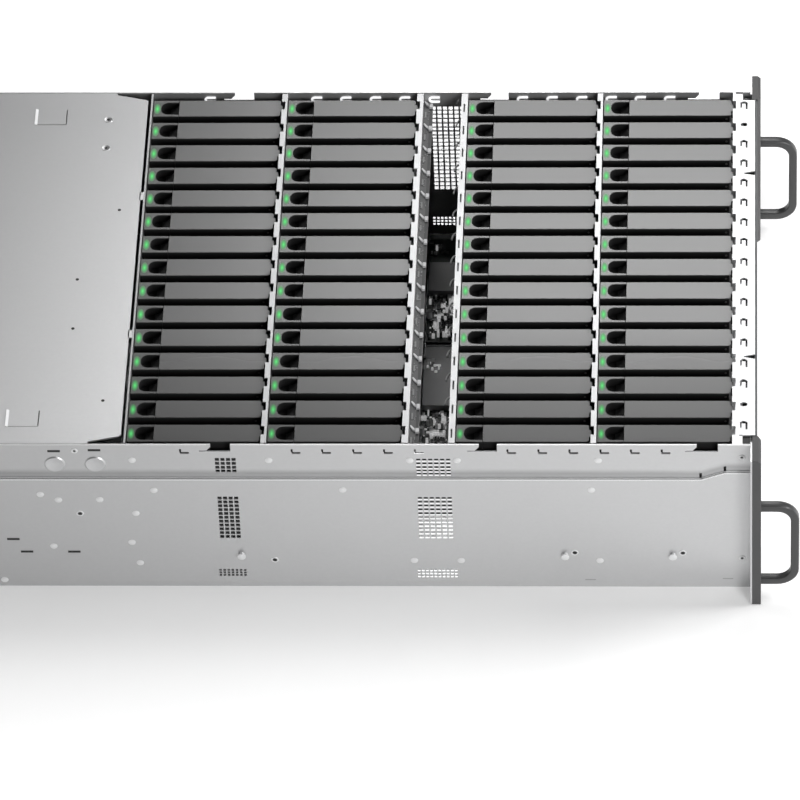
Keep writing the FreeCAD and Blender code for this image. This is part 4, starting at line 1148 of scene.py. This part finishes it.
def rear_cover():
    """Sheet with its tapered corners, screw holes, finger grips, hooks and folded side lips."""
    low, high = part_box("rear_cover")
    sheet = 1.2 * MM
    tab = 2.7 * MM
    front = high.x - tab
    wide = high.y
    narrow = wide - 8.7 * MM
    taper = 28.0 * MM
    corner = 2.0 * MM
    step = 2.4 * MM
    shape = Shape()
    side = [(rear_x, wide), (front - taper, wide), (front - taper, wide - step),
            (front - corner, narrow), (front, narrow - corner)]
    plan = side + [(x, -y) for x, y in reversed(side)]
    shape.plate([(x, y, body_height - sheet) for x, y in plan], (0, 0, sheet))
    shape.make("rear_cover_sheet", cover_steel(), "cover", "zinc_steel", ["rear_cover"])
    # The holes are dark discs of painted shade.
    holes = Shape()
    rings = Shape()
    for back, y, ringed in ((577.3, 185.1, True), (577.3, 148.3, True), (560.7, 68.6, False),
                            (592.3, -19.1, False), (592.3, -80.1, False), (560.9, -168.1, False)):
        place = Vector((front_x - back * MM, y * MM, body_height))
        if ringed:
            rings.turned(place - Vector((0, 0, 0.3 * MM)), (0, 0, 1),
                         [(0, 4.2 * MM), (0.6 * MM, 3.7 * MM), (0.6 * MM, 3.0 * MM),
                          (0.32 * MM, 2.4 * MM)], 24)
        holes.turned(place, (0, 0, 1), [(-0.5 * MM, 1.5 * MM), (0.12 * MM, 1.5 * MM)], 20)
    rings.make("cover_hole_rings", steel, "cover", "zinc_steel", smooth=True)
    holes.make("cover_screw_holes", black_and_shade_finish, "cover", "carrier_black")
    # Grip rims: the left one is a painted highlight, the right and near ones a darker copy of the sheet as
    # painted shade.
    lit = Shape()
    shaded = Shape()
    grip_x = front - 85.0 * MM
    grip_rear = grip_x - 12.4 * MM
    top = body_height - 0.02 * MM
    for y in (-199.5 * MM, 178.5 * MM):
        lit.plate([(grip_rear - 2.5 * MM, y, top), (grip_rear - 2.5 * MM, y, top + 0.9 * MM),
                   (grip_rear, y, top)], (0, 20.0 * MM, 0))
        inner = y + 1.0 * MM
        shaded.plate([(grip_x + 12.8 * MM, inner, top), (grip_x + 13.8 * MM, inner, top + 0.5 * MM),
                      (grip_x + 14.0 * MM, inner, top)], (0, 18.0 * MM, 0))
        shaded.plate([(grip_rear, y, top), (grip_rear, y, top + 0.2 * MM),
                      (grip_rear, y + 0.7 * MM, top)], (26.0 * MM, 0, 0))
    lit.make("cover_grip_rims_lit", bright_steel, "cover", "zinc_steel")
    shaded.make("cover_grip_rims", zinc_steel("grip_shade_zinc_steel", 0.45), "cover", "zinc_steel")
    folds = Shape()
    tab_half = 4.8 * MM
    for y in (-86.5 * MM, 86.5 * MM):
        folds.block((front - 1 * MM, y - tab_half, body_height - sheet),
                    (front + tab, y + tab_half, body_height))
    lip_y = 208.8 * MM
    lip_rear = rear_inside + 14.3 * MM
    for s in (-1, 1):
        y0, y1 = sorted((s * lip_y, s * (lip_y - sheet)))
        folds.block((lip_rear, y0, low.z), (front - taper, y1, body_height - sheet))
    folds.make("rear_cover_folds", steel, "cover", "zinc_steel")


rear_cover()


# ---- Ears and handles ---------------------------------------------------------------------------------
# Die-cast, powder-coated rack ears, screwed to steel angles behind them. Each has a bail handle, bent from
# square bar with eased edges and coated in the same way.
def painted(name, tint, roughness):
    """Fine-grained coat of one colour, slightly uneven."""
    finish = Finish(name)
    grain = finish.noise(1400.0, 3.0)
    cloud = finish.noise(20.0, 2.0)
    finish.set(base_color=finish.mix(cloud, (tint * 0.9, tint * 0.9, tint * 0.92), (tint * 1.1,) * 3),
               roughness=(grain - 0.5) * 0.14 + roughness)
    return finish.bump(grain, 0.25, 0.00006)


ear_finish = painted("ear_powder_coat", 0.072, 0.42)
handle_finish = painted("handle_coat", 0.056, 0.32)


def handle(name):
    """Square bar that leaves the ear, turns down through two bends and comes back."""
    low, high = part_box(name)
    bar = high.y - low.y
    half = bar / 2
    radius = 15.4 * MM
    y = (low.y + high.y) / 2
    tip = high.x - half
    top = high.z - half
    bottom = low.z + half
    steps = 8
    upper = [(tip - radius + radius * math.sin(t), top - radius + radius * math.cos(t))
             for t in (math.pi / 2 * i / steps for i in range(steps + 1))]
    lower = [(x, bottom + top - z) for x, z in reversed(upper)]
    root = low.x - 0.5 * MM
    path = [(root, y, top)] + [(x, y, z) for x, z in upper + lower] + [(root, y, bottom)]
    ease = 1.0 * MM
    section = []
    for cx, cy, start in ((1, 1, 0), (-1, 1, 90), (-1, -1, 180), (1, -1, 270)):
        for angle in (0, 30, 60, 90):
            t = math.radians(start + angle)
            section.append((cx * (half - ease) + ease * math.cos(t),
                            cy * (half - ease) + ease * math.sin(t)))
    shape = Shape()
    shape.swept(path, section, (0, 1, 0))
    shape.make(f"{name}_bail", handle_finish, "chassis", "handle_black", [name], smooth=True)


for side in ("left", "right"):
    handle(f"handle_{side}")
    carried_over(f"rack_ear_{side}", ear_finish, 0.5 * MM)
carried_over("ear_brackets", steel)


# ---- Front grille -------------------------------------------------------------------------------------
# Perforated steel sheet across the front. The fans draw the air in through it and over the drives. Its
# square holes stand in straight lines, with a plain margin round them.
def front_grille():
    low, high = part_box("front_grille")
    sheet = 1.2 * MM
    margin = 9.0 * MM
    columns = 54
    lines = 18
    web = 1.6 * MM
    y_step = (high.y - low.y - 2 * margin) / columns
    z_step = (high.z - 2 * margin) / lines
    y_spans = [(low.y + margin + i * y_step + web / 2, low.y + margin + (i + 1) * y_step - web / 2)
               for i in range(columns)]
    z_spans = [(margin + i * z_step + web / 2, margin + (i + 1) * z_step - web / 2) for i in range(lines)]
    shape = Shape()

    def is_metal(y, z):
        in_y = any(a < y < b for a, b in y_spans)
        return not (in_y and any(a < z < b for a, b in z_spans))
    shape.sheet([low.y, high.y] + [v for span in y_spans for v in span],
                [low.z, high.z] + [v for span in z_spans for v in span], is_metal,
                lambda y, z, face: (high.x - face * sheet, y, z))
    shape.make("front_grille_sheet", steel, "chassis", "zinc_steel", ["front_grille"])


front_grille()


# ---- Cable channel ------------------------------------------------------------------------------------
# Expander boards on standoffs, with heatsinks, cans and connectors, and an upright indicator strip along
# the channel's rear wall with one light pipe fin for each carrier.
def board_green(name):
    """Dark green solder mask over faint tracks."""
    finish = Finish(name)
    tracks = finish.noise(900.0, 1.0, finish.stretched(1.0, 0.25, 1.0))
    finish.set(base_color=finish.mix(tracks, (0.006, 0.012, 0.009), (0.02, 0.035, 0.025)), roughness=0.4)
    return finish.bump(tracks, 0.2, 0.00008)


board_finish = board_green("board_mask")
chip_finish = black_plastic("chip_resin", 0.01)
can_finish = painted("can_sleeve", 0.75, 0.35)
sink_finish = painted("heatsink_anodised", 0.15, 0.33)
# A lighter copy of the heatsink finish: painted light on the second board's plates.
lit_sink_finish = painted("heatsink_painted_light", 0.3, 0.33)
glowing_pale_finish = painted("pale_components", 0.86, 0.4)
# Painted light: the pale parts glow so they look lit in the channel's shade.
glowing_pale_finish.set(emission_color=(0.8, 0.8, 0.8), emission_strength=0.3)
mid_finish = painted("grey_components", 0.6, 0.4)
dim_finish = painted("dim_components", 0.2, 0.45)
strip_finish = painted("indicator_mask", 0.085, 0.45)
carried_over("drive_backplanes", board_finish)
carried_over("drive_sockets", chip_finish)
carried_over("board_standoffs", steel)


def channel_parts():
    """Two boards with the same clusters of parts. Blocks are (x0, x1, y0, y1, height) in mm."""
    board_low, board_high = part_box("expander_boards")
    top = board_high.z
    to_second = Vector((-2.5 * MM, -147.0 * MM, 0))
    cell = 2.6
    space = 0.35
    boards = Shape()
    boards.block((board_low.x, 73.0 * MM, board_low.z), (board_high.x, board_high.y, top))
    boards.block((board_low.x, -76.0 * MM, board_low.z), (board_high.x, 70.0 * MM, top))
    boards.make("expander_board_sheets", board_finish, "chassis", "board_green", ["expander_boards"])
    parts = {
        "pale": [(127.8, 129.7, 190.5, 193.1, 5), (123.5, 128.5, 121.0, 124.8, 4),
                 (128.9, 130.6, 127.1, 132.9, 3), (141.4, 146.1, 119.9, 127.0, 5),
                 (134.4, 139.0, 115.8, 120.3, 4), (136.2, 146.3, 110.4, 118.1, 3),
                 (128.6, 135.0, 98.8, 104.7, 4), (134.9, 145.8, 99.1, 105.2, 5),
                 (128.3, 133.5, 89.8, 96.0, 4), (131.9, 146.4, 79.1, 84.5, 6),
                 (139.2, 141.1, 88.5, 91.7, 3.2), (127.2, 130.2, 77.6, 81.9, 3)],
        "mid": [(123.3, 125.2, 184.5, 189.7, 2), (126.7, 130.5, 191.9, 197.1, 3),
                (130.4, 133.7, 189.6, 196.7, 4), (126.0, 129.3, 185.1, 189.0, 2),
                (124.1, 127.0, 126.5, 132.3, 3), (139.9, 143.6, 127.8, 131.6, 3),
                (134.6, 136.3, 85.5, 100.1, 3), (124.3, 126.5, 77.6, 81.9, 3)],
        "dim": [(132.7, 139.6, 186.3, 190.2, 1.5), (122.0, 125.7, 197.5, 201.4, 2),
                (133.1, 138.7, 124.9, 133.3, 2), (141.7, 145.4, 77.6, 82.7, 2)],
        "chip": [(136.1, 145.4, 88.8, 100.6, 2.5)]}
    finishes = {"pale": glowing_pale_finish, "mid": mid_finish, "dim": dim_finish, "chip": chip_finish}
    shapes = {key: Shape() for key in parts}
    cans = Shape()
    draw = np.random.default_rng(7)
    for shift in (Vector((0, 0, 0)), to_second):
        for key, blocks in parts.items():
            for x0, x1, y0, y1, tall in blocks:
                across = max(1, round((x1 - x0) / cell))
                along = max(1, round((y1 - y0) / cell))
                for i in range(across):
                    for j in range(along):
                        a = x0 + (x1 - x0) * i / across
                        b = y0 + (y1 - y0) * j / along
                        high = tall + draw.uniform(-1.0, 0.6)
                        shade = ("dim", "mid", key, key, key)[int(draw.integers(5))]
                        shapes[shade].block(
                            (a * MM + shift.x, b * MM + shift.y, top),
                            ((a + (x1 - x0) / across - space) * MM + shift.x,
                             (b + (y1 - y0) / along - space) * MM + shift.y, top + high * MM))
        for x, y, radius, tall in ((129.6, 115.5, 1.4, 6), (124.4, 105.1, 2.6, 8), (133.0, 106.2, 1.8, 7)):
            foot = Vector((x * MM, y * MM, top)) + shift
            cans.turned(foot, (0, 0, 1), [(0, radius * MM), ((tall - 0.5) * MM, radius * MM),
                                          (tall * MM, (radius - 0.4) * MM)], 16)
        for _ in range(110):
            x = draw.uniform(board_low.x + 2 * MM, board_high.x - 3 * MM)
            y = draw.uniform(78 * MM, 132 * MM) + shift.y
            size = draw.uniform(0.4, 1.1) * MM
            key = ("pale", "mid", "dim")[int(draw.integers(3))]
            shapes[key].block((x - size, y - size * 0.6, top),
                              (x + size, y + size * 0.6, top + draw.uniform(0.4, 1.3) * MM))
    sinks = Shape()
    sinks.block((122.7 * MM, 131.4 * MM, top), (147.7 * MM, 168.9 * MM, top + 7 * MM))
    plates = Shape()
    plates.block((121.4 * MM, -13.8 * MM, top), (146.4 * MM, 20.7 * MM, top + 7 * MM))
    plates.block((121.4 * MM, 22.5 * MM, top), (146.4 * MM, 66.0 * MM, top + 1 * MM))
    plates.make("second_heatsink_plates", lit_sink_finish, "chassis", "heatsink_dark", bevel=0.4 * MM)
    sinks.make("heatsink_plates", sink_finish, "chassis", "heatsink_dark", ["expander_heatsinks"],
               bevel=0.4 * MM)
    for x, y, long, wide in ((125.0, 44.0, 5.0, 1.2), (130.0, 41.0, 6.5, 1.1), (128.0, 36.0, 2.0, 2.6),
                             (134.0, 37.0, 1.6, 3.0), (124.0, 39.0, 1.6, 2.4), (131.0, 33.0, 2.6, 1.2)):
        shapes["pale"].block((x * MM, y * MM, top + 1 * MM),
                             ((x + long) * MM, (y + wide) * MM, top + 3 * MM))
    for key, shape in shapes.items():
        stands_for = ["expander_connectors"] if key == "chip" else []
        shape.make(f"{key}_components", finishes[key], "chassis", "connector_black", stands_for)
    cans.make("capacitor_cans", can_finish, "chassis", "module_case", smooth=True)


def indicator_strip():
    """Upright strip's top: a fin and its end block for each carrier, and small parts between them."""
    strip_low, strip_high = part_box("indicator_board")
    z = strip_high.z
    right = 129.0 * MM
    strip = Shape().block(strip_low, (right, strip_high.y, z))
    strip.make("indicator_strip", strip_finish, "chassis", "board_green", ["indicator_board"])
    # Painted shade: a near-black band along the strip's right side.
    painted_strip_shade = black_plastic("indicator_shade_plastic", 0.03)
    strip_shade_band = Shape().block((126.2 * MM, strip_low.y, z), (128.4 * MM, strip_high.y, z + 0.1 * MM))
    strip_shade_band.make("indicator_shade_band", painted_strip_shade, "chassis", "board_green")
    fins = Shape()
    marks = Shape()
    fin_high = 1.6 * MM
    arm = [(-0.7 * MM, 0), (0.7 * MM, 0), (0.7 * MM, fin_high), (-0.7 * MM, fin_high)]
    draw = np.random.default_rng(11)
    for y in centres:
        fins.plate([(121.0 * MM, y + 14.6 * MM, z), (122.2 * MM, y + 15.2 * MM, z),
                    (126.4 * MM, y + 9.6 * MM, z), (125.6 * MM, y + 7.4 * MM, z),
                    (123.2 * MM, y + 10.2 * MM, z)], (0, 0, fin_high))
        fins.block((126.0 * MM, y + 5.8 * MM, z), (129.0 * MM, y + 10.6 * MM, z + 2.6 * MM))
        marks.block((122.0 * MM, y - 6.0 * MM, z), (123.4 * MM, y + 1.2 * MM, z + 0.8 * MM))
        for _ in range(8):
            x = draw.uniform(121.2, 126.5) * MM
            place = y + draw.uniform(-9.0, 6.0) * MM
            size = draw.uniform(0.3, 0.6) * MM
            marks.block((x - size, place - size, z), (x + size, place + size, z + 0.6 * MM))
        arc = [(155.2 * MM - 4.6 * MM * math.sin(t), y + 20.0 * MM - 9.0 * MM * (1 - math.cos(t)), z)
               for t in (math.pi / 2 * i / 6 for i in range(7))]
        fins.swept(arc, arm, (0, 0, 1))
    fins.make("light_pipe_fins", mid_finish, "chassis", "board_green", bevel=0.3 * MM)
    marks.make("indicator_parts", dim_finish, "chassis", "board_green")


channel_parts()
indicator_strip()


# ---- Rear modules -------------------------------------------------------------------------------------
# Fans, power supplies and in/out modules slide in from behind, over and under a shelf. Their faces carry
# wire finger guards, air holes, a mains inlet, port frames and small indicator lenses.
module_finish = zinc_steel("module_plate", 0.62)
green_finish = painted("touch_point_green", 0.12, 0.4)
green_grain = green_finish.noise(500.0)
green_finish.set(base_color=green_finish.mix(green_grain, (0.03, 0.20, 0.09), (0.04, 0.25, 0.11)))
fan_finish = black_plastic("fan_plastic", 0.02)
carried_over("rear_panel", steel)
carried_over("module_shelf", steel)
for i in (1, 2, 3):
    carried_over(f"fan_module_{i}", fan_finish, 0.6 * MM)
    carried_over(f"fan_impeller_{i}", fan_finish, 0.3 * MM)
for side in ("left", "right"):
    carried_over(f"power_supply_{side}", module_finish, 0.3 * MM)
    carried_over(f"io_module_{side}", module_finish, 0.3 * MM)
    carried_over(f"power_latch_{side}", green_finish, 0.5 * MM)
    carried_over(f"io_lever_{side}", green_finish, 0.5 * MM)


def finger_guard(number):
    """Wire rings on a cross, with a screw in each corner of the fan's frame."""
    low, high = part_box(f"fan_module_{number}")
    y = (low.y + high.y) / 2
    z = (low.z + high.z) / 2
    x = rear_x - 1.6 * MM
    gauge = 1.0 * MM
    wire = [(gauge * math.cos(t), gauge * math.sin(t)) for t in (math.pi / 3 * i for i in range(6))]
    guard = Shape()
    for radius in (22.0 * MM, 32.0 * MM, 42.0 * MM, 52.0 * MM):
        ring = [(x, y + radius * math.cos(t), z + radius * math.sin(t))
                for t in (2 * math.pi * i / 40 for i in range(40))]
        guard.swept(ring, wire, (1, 0, 0), closed=True)
    reach = 57.0 * MM * math.sqrt(0.5)
    under = x + 1.2 * MM
    for lean in (-1, 1):
        guard.swept([(under, y - reach, z - lean * reach), (under, y + reach, z + lean * reach)],
                    wire, (1, 0, 0))
    guard.make(f"finger_guard_{number}", bright_steel, f"fan_{number}", "zinc_steel", smooth=True)
    screws = Shape()
    for dy in (-1, 1):
        for dz in (-1, 1):
            foot = (rear_x, y + dy * 56.0 * MM, z + dz * 55.0 * MM)
            screws.turned(foot, (-1, 0, 0), [(0, 3.4 * MM), (1.2 * MM, 3.0 * MM), (1.7 * MM, 1.8 * MM)], 20)
    screws.make(f"fan_screws_{number}", bright_steel, f"fan_{number}", "zinc_steel", smooth=True)


def supply_face(side):
    """Air holes round the pull, and the mains inlet with its three pins."""
    low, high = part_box(f"power_supply_{side}")
    middle = (low.z + high.z) / 2
    hole_radius = 1.6 * MM
    # The air holes are dark discs of painted shade; the inlet's rim is black.
    holes = Shape()
    for line, z in enumerate((5.0, 9.2, 30.4, 34.6)):
        for i in range(8):
            y = low.y + (7.5 + 4.3 * i + 2.1 * (line % 2)) * MM
            holes.turned((rear_x, y, low.z + z * MM), (-1, 0, 0),
                         [(-0.1 * MM, hole_radius), (0.12 * MM, hole_radius)], 6)
    right = high.y - 10.0 * MM
    left = right - 18.0 * MM
    bottom = middle - 15.0 * MM
    top = middle + 6.0 * MM
    rim = 1.6 * MM
    for y0, y1, z0, z1 in ((left - rim, left, bottom - rim, top + rim),
                           (right, right + rim, bottom - rim, top + rim),
                           (left, right, bottom - rim, bottom), (left, right, top, top + rim)):
        holes.block((rear_x - 1.2 * MM, y0, z0), (rear_x, y1, z1))
    holes.make(f"supply_face_{side}", black_and_shade_finish, f"supply_{side}", "connector_black")
    pins = Shape()
    for dy, dz in ((-4.5, 0.0), (0.0, 3.0), (4.5, 0.0)):
        y = (left + right) / 2 + dy * MM
        z = (bottom + top) / 2 + dz * MM
        pins.block((rear_x + 3.0 * MM, y - 0.7 * MM, z - 2.2 * MM),
                   (rear_x + 14.0 * MM, y + 0.7 * MM, z + 2.2 * MM))
    pins.make(f"inlet_pins_{side}", bright_steel, f"supply_{side}", "zinc_steel")


def port_faces(side):
    """Frames and tongues of the ports, with a lens over each, and the ejector lever's pin."""
    low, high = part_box(f"io_module_{side}")
    frames = Shape()
    tongues = Shape()
    lenses = Shape()
    bottom = low.z + 5.0 * MM
    top = bottom + 9.0 * MM
    rim = 1.0 * MM
    for i in range(4):
        y0 = low.y + (10.0 + 19.0 * i) * MM
        y1 = y0 + 15.0 * MM
        for a, b, c, d in ((y0 - rim, y0, bottom - rim, top + rim), (y1, y1 + rim, bottom - rim, top + rim),
                           (y0, y1, bottom - rim, bottom), (y0, y1, top, top + rim)):
            frames.block((rear_x - 0.9 * MM, a, c), (rear_x, b, d))
        tongues.block((rear_x + 1.5 * MM, y0 + 2 * MM, bottom + 3.4 * MM),
                      (rear_x + 14.0 * MM, y1 - 2 * MM, bottom + 5.2 * MM))
        lenses.turned((rear_x, (y0 + y1) / 2, top + 4.0 * MM), (-1, 0, 0),
                      [(0, 1.1 * MM), (0.4 * MM, 1.0 * MM), (0.7 * MM, 0.5 * MM)], 12)
    frames.turned((rear_x - 2.8 * MM, high.y - 7.5 * MM, high.z - 3.9 * MM), (0, 0, 1),
                  [(0, 1.9 * MM), (0.9 * MM, 1.5 * MM)], 16)
    frames.make(f"port_frames_{side}", bright_steel, f"io_{side}", "zinc_steel")
    tongues.make(f"port_tongues_{side}", black_and_shade_finish, f"io_{side}", "connector_black")
    lenses.make(f"port_lenses_{side}", mid_finish, f"io_{side}", "latch_green", smooth=True)


for i in (1, 2, 3):
    finger_guard(i)
for side in ("left", "right"):
    supply_face(side)
    port_faces(side)
